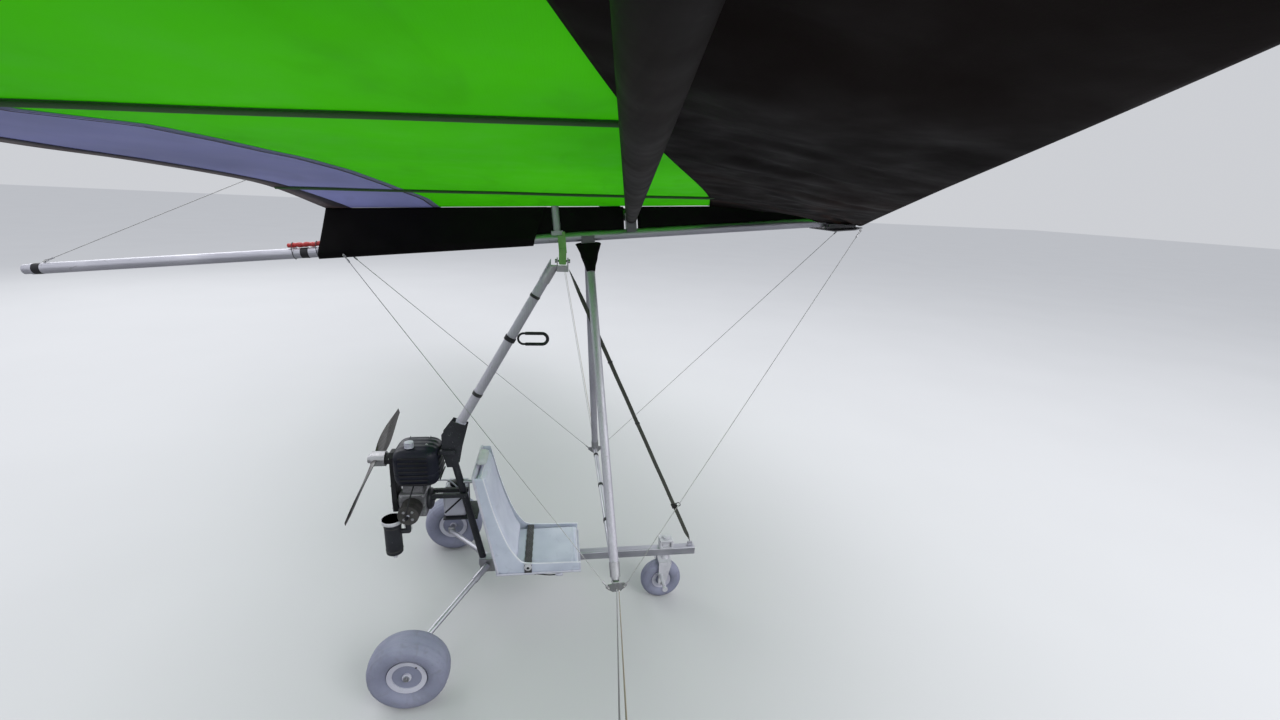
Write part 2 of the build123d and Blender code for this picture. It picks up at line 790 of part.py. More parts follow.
root_plate_rear = trike_keel_rear + 6
root_plate_front = root_plate_rear + 100
root_plate_thick = 6.0
root_plate_low = keel_low - 34
root_plate_out = keel_box / 2 + root_plate_thick
root_plate = block(
    root_plate_rear, root_plate_front, keel_box / 2, root_plate_out, root_plate_low, keel_high - 4
)
root_floor = block(
    root_plate_rear, root_plate_front, -root_plate_out, root_plate_out,
    root_plate_low - root_plate_thick, root_plate_low,
)
leg_bracket = root_plate + mirror_y(root_plate) + root_floor
for solid in (leg, sleeve_tube):
    leg_bracket = leg_bracket - solid - mirror_y(solid)
keep("leg_bracket", leg_bracket)

knuckle_half_x = 22.0
knuckle_half_z = 24.0
knuckle_back = 16.0
knuckle_face = knuckle_y + 8
axle_beyond = 14.0
collar_r = 16.0
nut_r = 13.0
main_rim_out = main_wheel_y + main_rim_w / 2
knuckle = block(
    main_wheel_x - knuckle_half_x, main_wheel_x + knuckle_half_x, knuckle_y - knuckle_back, knuckle_face,
    main_wheel_r - knuckle_half_z, main_wheel_r + knuckle_half_z, 4,
)
knuckle = knuckle - leg
axle = rod(
    (main_wheel_x, knuckle_face, main_wheel_r), (main_wheel_x, main_rim_out + axle_beyond, main_wheel_r),
    axle_r,
)
axle_collar_y = main_wheel_y - main_rim_w / 2 - 3
axle_collar = rod(
    (main_wheel_x, knuckle_face, main_wheel_r), (main_wheel_x, axle_collar_y, main_wheel_r), collar_r
)
wheel_nut = rod(
    (main_wheel_x, main_rim_out + 1, main_wheel_r), (main_wheel_x, main_rim_out + 12, main_wheel_r), nut_r
)
keep("axles", *both(knuckle + axle + axle_collar + wheel_nut))


def tyre_section(outer_r, width, rim_r, bead_w):
    """A balloon tyre's section: distance along the axle and radius."""
    half = width / 2
    side_r = (outer_r + rim_r) / 2
    start = Vector(rim_r, -bead_w / 2, 0)
    shoulder = Vector(side_r, -half, 0)
    crown = Vector(outer_r, 0, 0)
    far_shoulder = Vector(side_r, half, 0)
    end = Vector(rim_r, bead_w / 2, 0)
    drop = (outer_r - side_r) * 0.72
    reach = half * 0.72
    return Wire([
        Edge.make_three_point_arc(
            start, Vector((rim_r + side_r) / 2, -(half + bead_w / 2) / 2 - half * 0.06, 0), shoulder
        ),
        Edge.make_three_point_arc(shoulder, Vector(side_r + drop, -reach, 0), crown),
        Edge.make_three_point_arc(crown, Vector(side_r + drop, reach, 0), far_shoulder),
        Edge.make_three_point_arc(
            far_shoulder, Vector((rim_r + side_r) / 2, (half + bead_w / 2) / 2 + half * 0.06, 0), end
        ),
        Edge.make_line(end, start),
    ])


def wheel(outer_r, width, rim_r, rim_w, hub_bore, x, y, z):
    """A tyre and a rim on an axle along Y."""
    tyre = Solid.revolve(Face(tyre_section(outer_r, width, rim_r, rim_w - 12)), 360, Axis.Y)
    half = rim_w / 2
    hub_r = hub_bore + 14
    rim = turned(
        [
            (-half, hub_bore), (-half, hub_r), (-half + 16, hub_r), (-6, rim_r - 22),
            (-half + 4, rim_r - 16), (-half, rim_r + 8), (-half + 5, rim_r + 8), (-half + 6, rim_r),
            (half - 6, rim_r), (half - 5, rim_r + 8), (half, rim_r + 8), (half - 4, rim_r - 16),
            (6, rim_r - 22), (half - 16, hub_r), (half, hub_r), (half, hub_bore),
        ],
        0, 0, 0,
    )
    tyre = tyre - rim
    return Pos(x, y, z) * tyre, Pos(x, y, z) * rim


main_tyre, main_rim = wheel(
    main_wheel_r, main_tyre_w, main_rim_r, main_rim_w, axle_r + wheel_running_gap,
    main_wheel_x, main_wheel_y, main_wheel_r,
)
keep("tyre_left", main_tyre)
keep("tyre_right", mirror_y(main_tyre))
keep("rim_left", main_rim)
keep("rim_right", mirror_y(main_rim))

# Steered fork, foot pegs and front wheel

front_axle_x = head_x - front_trail
crown_over_tyre = 8.0
crown_rear = head_x - 46
crown_front = head_x + 34
washer_r = 22.0
stem_nut_r = 20.0
crown_low = front_wheel_r * 2 + crown_over_tyre
crown_high = crown_low + crown_thick
plate_y = front_tyre_w / 2 + fork_gap
crown_half = plate_y + fork_plate
fork_crown = block(crown_rear, crown_front, -crown_half, crown_half, crown_low, crown_high)
thrust_washer = rod((head_x, 0, crown_high), (head_x, 0, keel_low - seat_gap), washer_r)
stem = rod((head_x, 0, crown_high), (head_x, 0, head_top + 14), stem_r)
stem_nut = rod((head_x, 0, head_top + seat_gap), (head_x, 0, head_top + 12), stem_nut_r)
keep("fork_crown", fork_crown + thrust_washer + stem + stem_nut)

# Foot of a fork blade: X and height from the front axle
BLADE_FOOT = ((22, -6), (10, -20), (-10, -20), (-24, -6))
blade_points = [(crown_rear, crown_low), (crown_front, crown_low)]
blade_points += [(front_axle_x + x, front_wheel_r + z) for x, z in BLADE_FOOT]
fork_blade = side_plate(blade_points, plate_y, plate_y + fork_plate)
front_axle = rod(
    (front_axle_x, -plate_y - fork_plate - 10, front_wheel_r),
    (front_axle_x, plate_y + fork_plate + 10, front_wheel_r),
    axle_r,
)
keep("front_axle", front_axle)
peg_z = front_wheel_r + 62
peg_x = head_x - 30
peg = rod((peg_x, plate_y + 1, peg_z), (peg_x, plate_y + fork_plate + peg_reach, peg_z), peg_r)
peg_flange = rod(
    (peg_x, plate_y + fork_plate + peg_reach, peg_z), (peg_x, plate_y + fork_plate + peg_reach + 8, peg_z),
    peg_r + 5,
)
keep("fork_blades", *both(fork_blade - front_axle + peg + peg_flange))

front_tyre, front_rim = wheel(
    front_wheel_r, front_tyre_w, front_rim_r, front_rim_w, axle_r + wheel_running_gap,
    front_axle_x, 0, front_wheel_r,
)
keep("front_tyre", front_tyre)
keep("front_rim", front_rim)

# Engine case, cylinder, cowl, drive and silencer

case_half_y = 75.0
case_below = 75.0
case_above = 70.0
case_low = crank_z - case_below
case_high = crank_z + case_above
engine_case = block(case_rear, case_front, -case_half_y, case_half_y, case_low, case_high, 10)

cylinder_x = (case_front + case_rear) / 2
cylinder_r = 42.0
fin_r = 56.0
fin_t = 4.0
fin_pitch = 11.0
fin_first = 12.0
cylinder_long = 105.0
cylinder_out = -case_half_y - cylinder_long
cylinder = rod((cylinder_x, -case_half_y, crank_z), (cylinder_x, cylinder_out, crank_z), cylinder_r)
fin_y = -case_half_y - fin_first
while fin_y - fin_t > cylinder_out:
    fin = rod((cylinder_x, fin_y, crank_z), (cylinder_x, fin_y - fin_t, crank_z), fin_r)
    cylinder = cylinder + fin
    fin_y -= fin_pitch
keep("engine_cylinder", cylinder)

cowl_front = -672.0
cowl_rear = -915.0
cowl_low = 890.0
cowl_high = 1128.0
cowl_half_y = 120.0
cowl_corner = 26.0
cowl_foot_y = 40.0
cowl_foot_half = 12.0
cowl = block(cowl_rear, cowl_front, -cowl_half_y, cowl_half_y, cowl_low, cowl_high, cowl_corner)
cowl_feet = [
    block(
        case_rear + 20, case_front - 20,
        side * cowl_foot_y - cowl_foot_half, side * cowl_foot_y + cowl_foot_half, case_high, cowl_low,
    )
    for side in (1, -1)
]
cap_mid_x = -825.0
cap_mid_y = -60.0
filler_r = 24.0
filler_high = 24.0
filler_cap = rod(
    (cap_mid_x, cap_mid_y, cowl_high), (cap_mid_x, cap_mid_y, cowl_high + filler_high), filler_r
)
keep("engine_cowl", cowl + filler_cap)

drive_rear = cowl_rear - drive_thick
drive_outline = [
    (-50, crank_z - 50), (50, crank_z - 50), (55, crank_z + 20), (44, prop_z + 20), (26, prop_z + 46),
    (-26, prop_z + 46), (-44, prop_z + 20), (-55, crank_z + 20),
]
drive_wire = Wire.make_polygon([Vector(cowl_rear, y, z) for y, z in drive_outline], close=True)
drive = Solid.extrude(Face(drive_wire), Vector(-drive_thick, 0, 0))
bearing_long = 26.0
bearing_r = 32.0
case_link_r = 40.0
bearing_rear = drive_rear - bearing_long
bearing = rod((drive_rear, 0, prop_z), (bearing_rear, 0, prop_z), bearing_r)
shaft_hole = rod((cowl_rear - 2, 0, prop_z), (drive_rear - 40, 0, prop_z), prop_shaft_r + bolt_clearance)
drive = drive + bearing - shaft_hole
keep("belt_drive", drive)
case_link = rod((case_rear, 0, crank_z), (cowl_rear, 0, crank_z), case_link_r)
keep("engine_case", engine_case + case_link + cowl_feet[0] + cowl_feet[1])

silencer_x = -930.0
silencer_y = -120.0
silencer_r = 45.0
silencer_low = 505.0
silencer_high = 700.0
silencer_corner = 8.0
collar_high = 22.0
collar_wall = 8.0
pipe_r = 14.0
pipe_x = cylinder_x - 20
pipe_z = silencer_high - 60
silencer = rod((silencer_x, silencer_y, silencer_low), (silencer_x, silencer_y, silencer_high), silencer_r)
silencer = fillet(silencer.edges(), silencer_corner)
collar = rod(
    (silencer_x, silencer_y, silencer_high), (silencer_x, silencer_y, silencer_high + collar_high),
    silencer_r + collar_wall,
)
keep("silencer", silencer + collar)
pipe = rod((pipe_x, silencer_y, crank_z - 40), (pipe_x, silencer_y, pipe_z), pipe_r)
pipe = pipe + rod((pipe_x, silencer_y, pipe_z), (silencer_x, silencer_y, pipe_z), pipe_r)
pipe = pipe + Pos(pipe_x, silencer_y, pipe_z) * Sphere(pipe_r)
pipe = pipe - cylinder - silencer
keep("exhaust_pipe", pipe.solids().sort_by(SortBy.VOLUME)[-1])

# Engine mount arms from the mast foot

arm_half_z = 12.0
arm_corner = 3.0
arm_z = mast_foot_z - 70
arms = block(
    cowl_front, mast_foot_x + 20, plate_out + seat_gap, plate_out + 24,
    arm_z - arm_half_z, arm_z + arm_half_z, arm_corner,
)
low_arm_z = crank_z + 30
low_arms = block(
    case_front, post_foot_x - 70, post_r + stand_off, post_r + 22,
    low_arm_z - arm_half_z, low_arm_z + arm_half_z, arm_corner,
)

# Propeller, with its hub and shaft

hub_front = bearing_rear - seat_gap * 2
hub_r = 42.0
hub_rear = prop_x - 20
spinner_long = 20.0
spinner_r = 24.0
prop_hub = rod((hub_front, 0, prop_z), (hub_rear, 0, prop_z), hub_r)
prop_shaft = rod((cowl_rear - 4, 0, prop_z), (hub_front, 0, prop_z), prop_shaft_r)
spinner = rod((hub_rear, 0, prop_z), (hub_rear - spinner_long, 0, prop_z), spinner_r)
keep("propeller_hub", prop_hub + prop_shaft + spinner)

# Blade sections: distance from the axis, chord, thickness, pitch angle in degrees
BLADE_COLUMNS = ("reach", "chord", "thick", "pitch")
BLADE = (
    (36.0, 44.0, 22.0, 38.0),
    (170.0, 82.0, 14.0, 27.0),
    (340.0, 70.0, 10.0, 16.0),
    (500.0, 34.0, 6.0, 11.0),
)


def blade_wire(row):
    """A lens-shaped blade section, square to the blade."""
    half = row["chord"] / 2
    angle = math.radians(row["pitch"])
    along = Vector(-math.sin(angle), 0, math.cos(angle))
    across = Vector(math.cos(angle), 0, math.sin(angle))
    middle = Vector(0, row["reach"], 0)
    lead = middle + along * half
    trail = middle - along * half
    return Wire([
        Edge.make_three_point_arc(lead, middle + across * (row["thick"] * 0.3), trail),
        Edge.make_three_point_arc(trail, middle - across * (row["thick"] * 0.7), lead),
    ])


blade_rows = [dict(zip(BLADE_COLUMNS, row)) for row in BLADE]
blade_rows[-1]["reach"] = prop_r
blade = Solid.make_loft([blade_wire(row) for row in blade_rows])
blades = []
for turn in (0, 180):
    placed = blade.moved(Location((prop_x, 0, prop_z), (prop_angle + turn, 0, 0)))
    blades.append(placed - rod((hub_front, 0, prop_z), (prop_x - 60, 0, prop_z), hub_r + seat_gap))
keep("propeller_blades", *blades)

# Fuel tank

tank_rear = -690.0
tank_front = -560.0
tank_in = 46.0
tank_out = 216.0
tank_low = 612.0
tank_high = 780.0
tank_corner = 16.0
shelf_front = -495.0
shelf_low = 606.0
tank = block(tank_rear, tank_front, tank_in, tank_out, tank_low, tank_high, tank_corner)
keep("fuel_tank", tank)
tank_shelf = block(tank_rear, shelf_front, post_r + stand_off, tank_out, shelf_low, tank_low - seat_gap)
keep("engine_mounts", *both(arms), *both(low_arms), tank_shelf)

# Seat shells, cushions, head roll and lap belt


def back_x(z):
    """X of the seat back's rear face."""
    rise = (z - back_foot_z) / (back_top_z - back_foot_z)
    return pan_rear_x + rise * (back_top_x - pan_rear_x)


pan_over_keel = 6.0
pan_block_half = 20.0
pan_block_places = (-300.0, 40.0)
pan_low = keel_high + pan_over_keel
pan_shell_top = pan_low + seat_shell_t
seat_pan = block(pan_rear_x, pan_front_x, -seat_half_w, seat_half_w, pan_low, pan_shell_top, 3)
pan_blocks = [
    block(x - pan_block_half, x + pan_block_half, -keel_box / 2, keel_box / 2, keel_high, pan_low)
    for x in pan_block_places
]
keep("seat_pan", seat_pan + pan_blocks[0] + pan_blocks[1])

shell_foot_z = pan_shell_top + cushion_gap
seat_back = side_plate(
    [
        (back_x(shell_foot_z), shell_foot_z),
        (back_x(shell_foot_z) + seat_shell_t, shell_foot_z),
        (back_x(back_top_z) + seat_shell_t, back_top_z),
        (back_x(back_top_z), back_top_z),
    ],
    -seat_half_w,
    seat_half_w,
)
keep("seat_back", seat_back)

cushion_low = pan_shell_top + cushion_gap
pad_half = seat_half_w - 8
back_pad_corner = 20.0
pan_pad_corner = 14.0

# Back cushion: height and thickness from the shell's face
BACK_PAD = (
    (pan_top_z + 2, cushion_gap),
    (pan_top_z + 2, 130.0),
    (600.0, 90.0),
    (760.0, 62.0),
    (back_top_z, 52.0),
    (back_top_z, cushion_gap),
)
back_pad = side_plate([(back_x(z) + seat_shell_t + thick, z) for z, thick in BACK_PAD], -pad_half, pad_half)
back_pad = fillet(back_pad.edges().filter_by(Axis.Y).group_by(Axis.X)[-1], back_pad_corner)
keep("back_cushion", back_pad)
pan_pad = block(
    back_x(cushion_low) + seat_shell_t + 3, pan_front_x - 4, -pad_half, pad_half,
    cushion_low, pan_top_z, pan_pad_corner,
)
keep("pan_cushion", pan_pad)

roll_x = back_x(back_top_z) + 36
roll_half_x = 34.0
roll_half_y = 80.0
roll_high = 56.0
roll_corner = 18.0
head_roll = block(
    roll_x - roll_half_x, roll_x + roll_half_x, -roll_half_y, roll_half_y,
    back_top_z + cushion_gap, back_top_z + roll_high, roll_corner,
)
keep("head_roll", head_roll)

belt_x = -190.0
belt_w = 44.0
belt_t = 3.0
belt_y = seat_half_w + cushion_gap
belt_top = pan_top_z + cushion_gap
belt_out = belt_y + belt_t
buckle_r = 22.0
buckle_thick = 12.0
buckle_z = belt_top - 12
belt = block(
    belt_x - belt_w / 2, belt_x + belt_w / 2, -belt_out, belt_out, pan_low, belt_top + belt_t
)
belt = belt - block(belt_x - belt_w, belt_x + belt_w, -belt_y, belt_y, pan_low - 10, belt_top)
buckle = rod((belt_x, -belt_out, buckle_z), (belt_x, -belt_out - buckle_thick, buckle_z), buckle_r)
keep("lap_belt", belt + buckle)

strut_z = 870.0
post_at_strut = post_foot.X + (strut_z - post_foot.Z) / post_dir.Z * post_dir.X
strut_half = 110.0
strut_r = 12.0
strut_link_r = 10.0
strut_x = back_x(strut_z) - strut_r - 0.6
seat_strut = rod((strut_x, -strut_half, strut_z), (strut_x, strut_half, strut_z), strut_r)
seat_strut = seat_strut + rod((post_at_strut, 0, strut_z), (strut_x, 0, strut_z), strut_link_r)
seat_strut = seat_strut - post - seat_back
keep("seat_strut", seat_strut.solids().sort_by(SortBy.VOLUME)[-1])

# Hand loop on the mast

loop_z = 1726.0
loop_x = mast_foot_x + (loop_z - mast_foot_z) / mast_dir.Z * mast_dir.X
loop_point = Vector(loop_x, 0, loop_z)
clamp_half = 12.0
clamp_wall = 5.0
clamp = tube(
    loop_point - mast_dir * clamp_half, loop_point + mast_dir * clamp_half, mast_r + clamp_wall, mast_r
)
ring_r = 6.0
ring_half = 30.0
ring_front = loop_x + 170
ring_back = loop_x + 72.4
low_back = Vector(ring_back, 0, loop_z - ring_half)
low_front = Vector(ring_front, 0, loop_z - ring_half)
high_front = Vector(ring_front, 0, loop_z + ring_half)
high_back = Vector(ring_back, 0, loop_z + ring_half)
ring_wire = Wire([
    Edge.make_line(low_back, low_front),
    Edge.make_three_point_arc(low_front, Vector(ring_front + ring_half, 0, loop_z), high_front),
    Edge.make_line(high_front, high_back),
    Edge.make_three_point_arc(high_back, Vector(ring_back - ring_half, 0, loop_z), low_back),
])
ring_plane = Plane(origin=low_back, z_dir=(1, 0, 0))
ring = Solid.sweep(Face(Wire.make_circle(ring_r, ring_plane)), ring_wire)
keep("mast_loop", clamp, ring)

# Main stays


def stay(start, end):
    """A cable with a round eye at each end."""
    cable = rod(start, end, stay_r)
    eyes = [Pos(*point) * Sphere(stay_eye_r) for point in (start, end)]
    return cable + eyes[0] + eyes[1]


eye_off = stay_eye_r + seat_gap
nose_eye_x = 1600.0
nose_eye_y = 110.0
tang_out = tang_y + tang_thick + eye_off
corner_front = (bar_x + 38, tang_out, -bar_drop - 6)
corner_side = (bar_x, tang_out, -bar_drop - 18)
corner_rear = (bar_x - 38, tang_out, -bar_drop - 6)
nose_eye = (nose_eye_x, nose_eye_y, nose_plate_top - nose_plate_t - eye_off)
side_eye = (junction_axis[0], junction_y + 10, bracket_low - eye_off)
keel_eye = (rear_stay_keel_x, pocket_side + eye_off, -wing_keel_r + 6)
lower = [stay(corner_front, nose_eye), stay(corner_side, side_eye), stay(corner_rear, keel_eye)]
lower += [mirror_y(solid) for solid in lower]
keep("lower_stays", *lower, wing=True)

cap_z = kingpost_top_z + cap_height / 2
eye_out = cap_r + eye_off
top_front = (kingpost_x + eye_out, 0, cap_z)
top_rear = (kingpost_x - eye_out, 0, cap_z)
top_side = (kingpost_x, eye_out, cap_z)
keel_end_eye = (keel_rear_x + 60, 0, wing_keel_r + eye_off)
nose_foot_x = nose_x - 60
edge_foot_x = edge_x(junction_y) - 20
eye_over_cloth = stay_eye_r + 1.2
front_stay_foot = (nose_foot_x, 0, cloth_top(station(0), nose_foot_x) + eye_over_cloth)
side_stay_foot = (
    edge_foot_x, junction_y, cloth_top(station(junction_y), edge_foot_x) + eye_over_cloth
)
upper = [stay(top_front, front_stay_foot), stay(top_rear, keel_end_eye), stay(top_side, side_stay_foot)]
upper.append(mirror_y(upper[2]))
keep("upper_stays", *upper, wing=True)

for name, solids in parts.items():
    shape = solids[0] if len(solids) == 1 else Compound(children=solids)
    export_step(shape, f"parts/{name}.step")
print(len(parts), "nodes, middle at", round(middle_x, 3))
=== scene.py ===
"""Looks of a single-seat weight-shift microlight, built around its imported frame.

Metres. +X is forward, +Y is port, +Z is up, and the ground is Z = 0. Trike places are written from the
hang point, wing places in the level frame of the wing keel, as in the part's source.
"""
import math

import bmesh
import bpy
from mathutils import Matrix, Vector, noise


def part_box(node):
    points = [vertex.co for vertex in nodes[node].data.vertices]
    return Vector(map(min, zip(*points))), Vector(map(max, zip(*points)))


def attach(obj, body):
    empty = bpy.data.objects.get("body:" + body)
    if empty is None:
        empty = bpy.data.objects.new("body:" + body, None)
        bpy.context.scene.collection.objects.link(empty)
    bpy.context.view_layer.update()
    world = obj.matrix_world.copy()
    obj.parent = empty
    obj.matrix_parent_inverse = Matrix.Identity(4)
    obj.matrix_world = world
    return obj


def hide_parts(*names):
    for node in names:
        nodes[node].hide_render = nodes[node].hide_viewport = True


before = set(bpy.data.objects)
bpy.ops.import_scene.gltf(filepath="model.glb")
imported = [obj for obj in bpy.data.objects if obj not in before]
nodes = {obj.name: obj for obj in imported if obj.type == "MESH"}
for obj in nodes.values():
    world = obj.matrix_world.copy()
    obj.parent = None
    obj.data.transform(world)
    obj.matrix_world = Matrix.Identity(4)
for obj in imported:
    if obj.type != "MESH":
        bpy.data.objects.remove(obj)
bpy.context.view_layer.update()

# Frame places

swivel_low, swivel_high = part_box("swivel_block")
HANG_X = (swivel_low.x + swivel_high.x) / 2
HANG_Z = 2.21
WING_TILT = math.radians(5.4)
KEEL_ABOVE_HANG = 0.06
WING_ORIGIN = Vector((
    HANG_X - KEEL_ABOVE_HANG * math.sin(WING_TILT), 0, HANG_Z + KEEL_ABOVE_HANG * math.cos(WING_TILT)
))


def trike(x, y, z):
    """A place written from the hang point's X."""
    return Vector((HANG_X + x, y, z))


def wing(x, y, z):
    """A place of the level wing frame, once the wing is tilted."""
    return Vector((
        WING_ORIGIN.x + x * math.cos(WING_TILT) - z * math.sin(WING_TILT),
        y,
        WING_ORIGIN.z + x * math.sin(WING_TILT) + z * math.cos(WING_TILT),
    ))


# Wing sections

NOSE_X = 1.69
EDGE_BACK = 0.48
EDGE_RISE = 0.135
EDGE_ROOT_Z = 0.03
POCKET_DROP = 0.064
POCKET_NOSE = 0.008
EDGE_TUBE_BACK = 0.034
KEEL_R = 0.025
TIP_OUT = 4.75
STATION_COLUMNS = ("out", "depth", "mid_z", "bulge", "rear_x", "rear_z", "band", "sag")
STATIONS = (
    (0.0, 0.9, 0.12, 0.05, -1.11, 0.206, 0.44, 0.0),
    (0.5, 0.8, 0.178, 0.052, -1.13, 0.308, 0.33, 0.004),
    (1.7, 0.69, 0.335, 0.042, -1.3, 0.425, 0.15, 0.02),
    (2.96, 0.48, 0.478, 0.03, -1.34, 0.57, 0.11, 0.034),
    (4.0, 0.36, 0.612, 0.022, -1.45, 0.7, 0.09, -0.004),
    (4.75, 0.29, 0.708, 0.016, -1.56, 0.79, 0.08, -0.008),
)
BATTEN_OUTS = (0.45, 1.78, 3.1, 4.1)
CLOTH = 0.0016
SAIL_LIFT = 0.002
UNDER_SHARE = 0.45


def station(out):
    """The section values at any distance out, smooth through the listed stations."""
    rows = STATIONS
    i = max(0, min(len(rows) - 2, sum(row[0] <= out for row in rows) - 1))
    a, b = rows[i], rows[i + 1]
    span = b[0] - a[0]
    t = (out - a[0]) / span
    values = []
    for k in range(len(STATION_COLUMNS)):
        chord = (b[k] - a[k]) / span
        before = (a[k] - rows[i - 1][k]) / (a[0] - rows[i - 1][0]) if i > 0 else chord
        after = (rows[i + 2][k] - b[k]) / (rows[i + 2][0] - b[0]) if i + 2 < len(rows) else chord
        start, end = (before + chord) / 2 * span, (chord + after) / 2 * span
        values.append(
            (2 * t**3 - 3 * t**2 + 1) * a[k] + (t**3 - 2 * t**2 + t) * start
            + (3 * t**2 - 2 * t**3) * b[k] + (t**3 - t**2) * end
        )
    row = dict(zip(STATION_COLUMNS, values))
    row["out"] = out
    row["edge_x"] = NOSE_X - EDGE_BACK * out
    row["edge_z"] = EDGE_ROOT_Z + EDGE_RISE * out
    row["mid_x"] = row["edge_x"] - row["depth"]
    return row


def arc(a, b, c, t):
    """A point at share t of the circle arc from a over b to c, each (x, z)."""
    bx, bz, cx, cz = b[0] - a[0], b[1] - a[1], c[0] - a[0], c[1] - a[1]
    area = 2 * (bx * cz - bz * cx)
    ox = (cz * (bx * bx + bz * bz) - bz * (cx * cx + cz * cz)) / area
    oz = (bx * (cx * cx + cz * cz) - cx * (bx * bx + bz * bz)) / area
    radius = math.hypot(ox, oz)
    start = math.atan2(-oz, -ox)
    turn = math.atan2(cz - oz, cx - ox) - start
    middle = math.atan2(bz - oz, bx - ox) - start
    turn, middle = (turn + math.pi) % math.tau - math.pi, (middle + math.pi) % math.tau - math.pi
    if turn * middle < 0:
        turn += math.tau if middle > 0 else -math.tau
    angle = start + turn * t
    return a[0] + ox + radius * math.cos(angle), a[1] + oz + radius * math.sin(angle)


def billow(out):
    """0 at each batten and 1 midway between two."""
    stops = (0.0,) + BATTEN_OUTS + (TIP_OUT,)
    for a, b in zip(stops, stops[1:]):
        if a <= out <= b:
            return math.sin(math.pi * (out - a) / (b - a)) ** 2
    return 0.0


def sail_point(out, share, side):
    """A point on the sail: share 0 at the leading edge, UNDER_SHARE at the under panel's edge, 1 at the rear."""
    row = station(out)
    front, rear = (row["edge_x"], row["edge_z"]), (row["mid_x"], row["mid_z"])
    crest = ((front[0] + rear[0]) / 2, (front[1] + rear[1]) / 2 + row["bulge"])
    if share < UNDER_SHARE:
        x, z = arc(front, crest, rear, share / UNDER_SHARE)
    else:
        t = (share - UNDER_SHARE) / (1 - UNDER_SHARE)
        x = rear[0] + t * (row["rear_x"] - rear[0])
        z = rear[1] + t * (row["rear_z"] - rear[1])
        z += 0.01 * billow(out) * math.sin(math.pi * min(1, t * 1.1)) ** 2
    z += 0.0016 * noise.noise(Vector((x * 3, out * 5, side))) * min(1, share * 6)
    return wing(x, side * out, z + SAIL_LIFT)


def share_at(out, x):
    """The share of the chord aft of the under panel at which the sail has this X."""
    row = station(out)
    return UNDER_SHARE + (1 - UNDER_SHARE) * (x - row["mid_x"]) / (row["rear_x"] - row["mid_x"])


# Front edge of the trailing band: distance out and X
BAND_EDGE = (
    (0.0, -0.6), (0.2, -0.605), (0.5, -0.65), (0.96, -0.68), (1.2, -0.708), (1.45, -0.755), (1.62, -0.8),
    (1.72, -0.94), (2.2, -1.06), (3.0, -1.19), (4.0, -1.34), (4.75, -1.47),
)


def band_front(out):
    """Share where the trailing band starts, with its stepped edge."""
    for (a, ax), (b, bx) in zip(BAND_EDGE, BAND_EDGE[1:]):
        if out <= b:
            return share_at(out, ax + (bx - ax) * (out - a) / (b - a))
    return share_at(out, BAND_EDGE[-1][1])


# Mesh shells: each is (points, faces)


def grid(point, rows, columns, wrap=False):
    """Quads over point(i / (rows - 1), j / (columns - 1)), joined round the columns with wrap."""
    strips = columns if wrap else columns - 1
    spots = [point(i / (rows - 1), j / strips) for i in range(rows) for j in range(columns)]
    faces = []
    for i in range(rows - 1):
        for j in range(strips):
            k = (j + 1) % columns
            faces.append((i * columns + j, i * columns + k, (i + 1) * columns + k, (i + 1) * columns + j))
    return spots, faces


def square_to(axis):
    """Two unit vectors square to an axis."""
    axis = axis.normalized()
    side = axis.cross(Vector((0, 0, 1)) if abs(axis.z) < 0.9 else Vector((0, 1, 0))).normalized()
    return side, axis.cross(side).normalized()


def lathe(profile, origin, axis, sides=40):
    """A round shell: profile is (along the axis, radius) pairs, closed at both ends where a radius is 0."""
    axis = Vector(axis).normalized()
    side, up = square_to(axis)

    def at(i, j):
        along, radius = profile[round(i * (len(profile) - 1))]
        angle = math.tau * j
        return origin + axis * along + (side * math.cos(angle) + up * math.sin(angle)) * max(radius, 1e-5)

    return grid(at, len(profile), sides, wrap=True)


def rounded(ring, way):
    """Three rings that close a pipe, from its end outwards."""
    spot, axis, across, r = ring
    return [(spot + axis * (way * r * d), axis, across, r * k) for d, k in ((0.2, 0.92), (0.42, 0.6), (0.5, 0.02))]


def tube(points, radius, sides=12, flat=1.0, closed=False):
    """A pipe along points, with rounded ends. radius may be a function of the share along it."""
    count = len(points)
    size = radius if callable(radius) else (lambda share: radius)
    across = square_to(points[1] - points[0])[0]
    rings = []
    for i, spot in enumerate(points):
        ahead = points[(i + 1) % count] if closed or i + 1 < count else spot
        behind = points[i - 1] if closed or i > 0 else spot
        axis = (ahead - behind).normalized()
        across = (across - axis * across.dot(axis)).normalized()
        rings.append((spot, axis, across.copy(), size(i / (count if closed else count - 1))))
    rings = rings + rings[:1] if closed else rounded(rings[0], -1)[::-1] + rings + rounded(rings[-1], 1)

    def at(i, j):
        spot, axis, across, r = rings[round(i * (len(rings) - 1))]
        up = axis.cross(across)
        angle = math.tau * j
        return spot + across * (math.cos(angle) * r) + up * (math.sin(angle) * r * flat)

    return grid(at, len(rings), sides, wrap=True)


def bmesh_shell(made):
    """The shell of a bmesh, which is freed."""
    made.verts.index_update()
    shell = [v.co.copy() for v in made.verts], [tuple(v.index for v in f.verts) for f in made.faces]
    made.free()
    return shell


def box(centre, size, rounding, turn=None):
    """A block with rounded edges."""
    made = bmesh.new()
    bmesh.ops.create_cube(made, size=1.0)
    bmesh.ops.scale(made, vec=Vector(size), verts=made.verts)
    bmesh.ops.bevel(
        made, geom=list(made.edges), offset=min(rounding, min(size) * 0.45), segments=2, profile=0.5,
        affect="EDGES",
    )
    matrix = Matrix.Translation(Vector(centre)) @ (turn.to_4x4() if turn else Matrix.Identity(4))
    bmesh.ops.transform(made, matrix=matrix, verts=made.verts)
    return bmesh_shell(made)


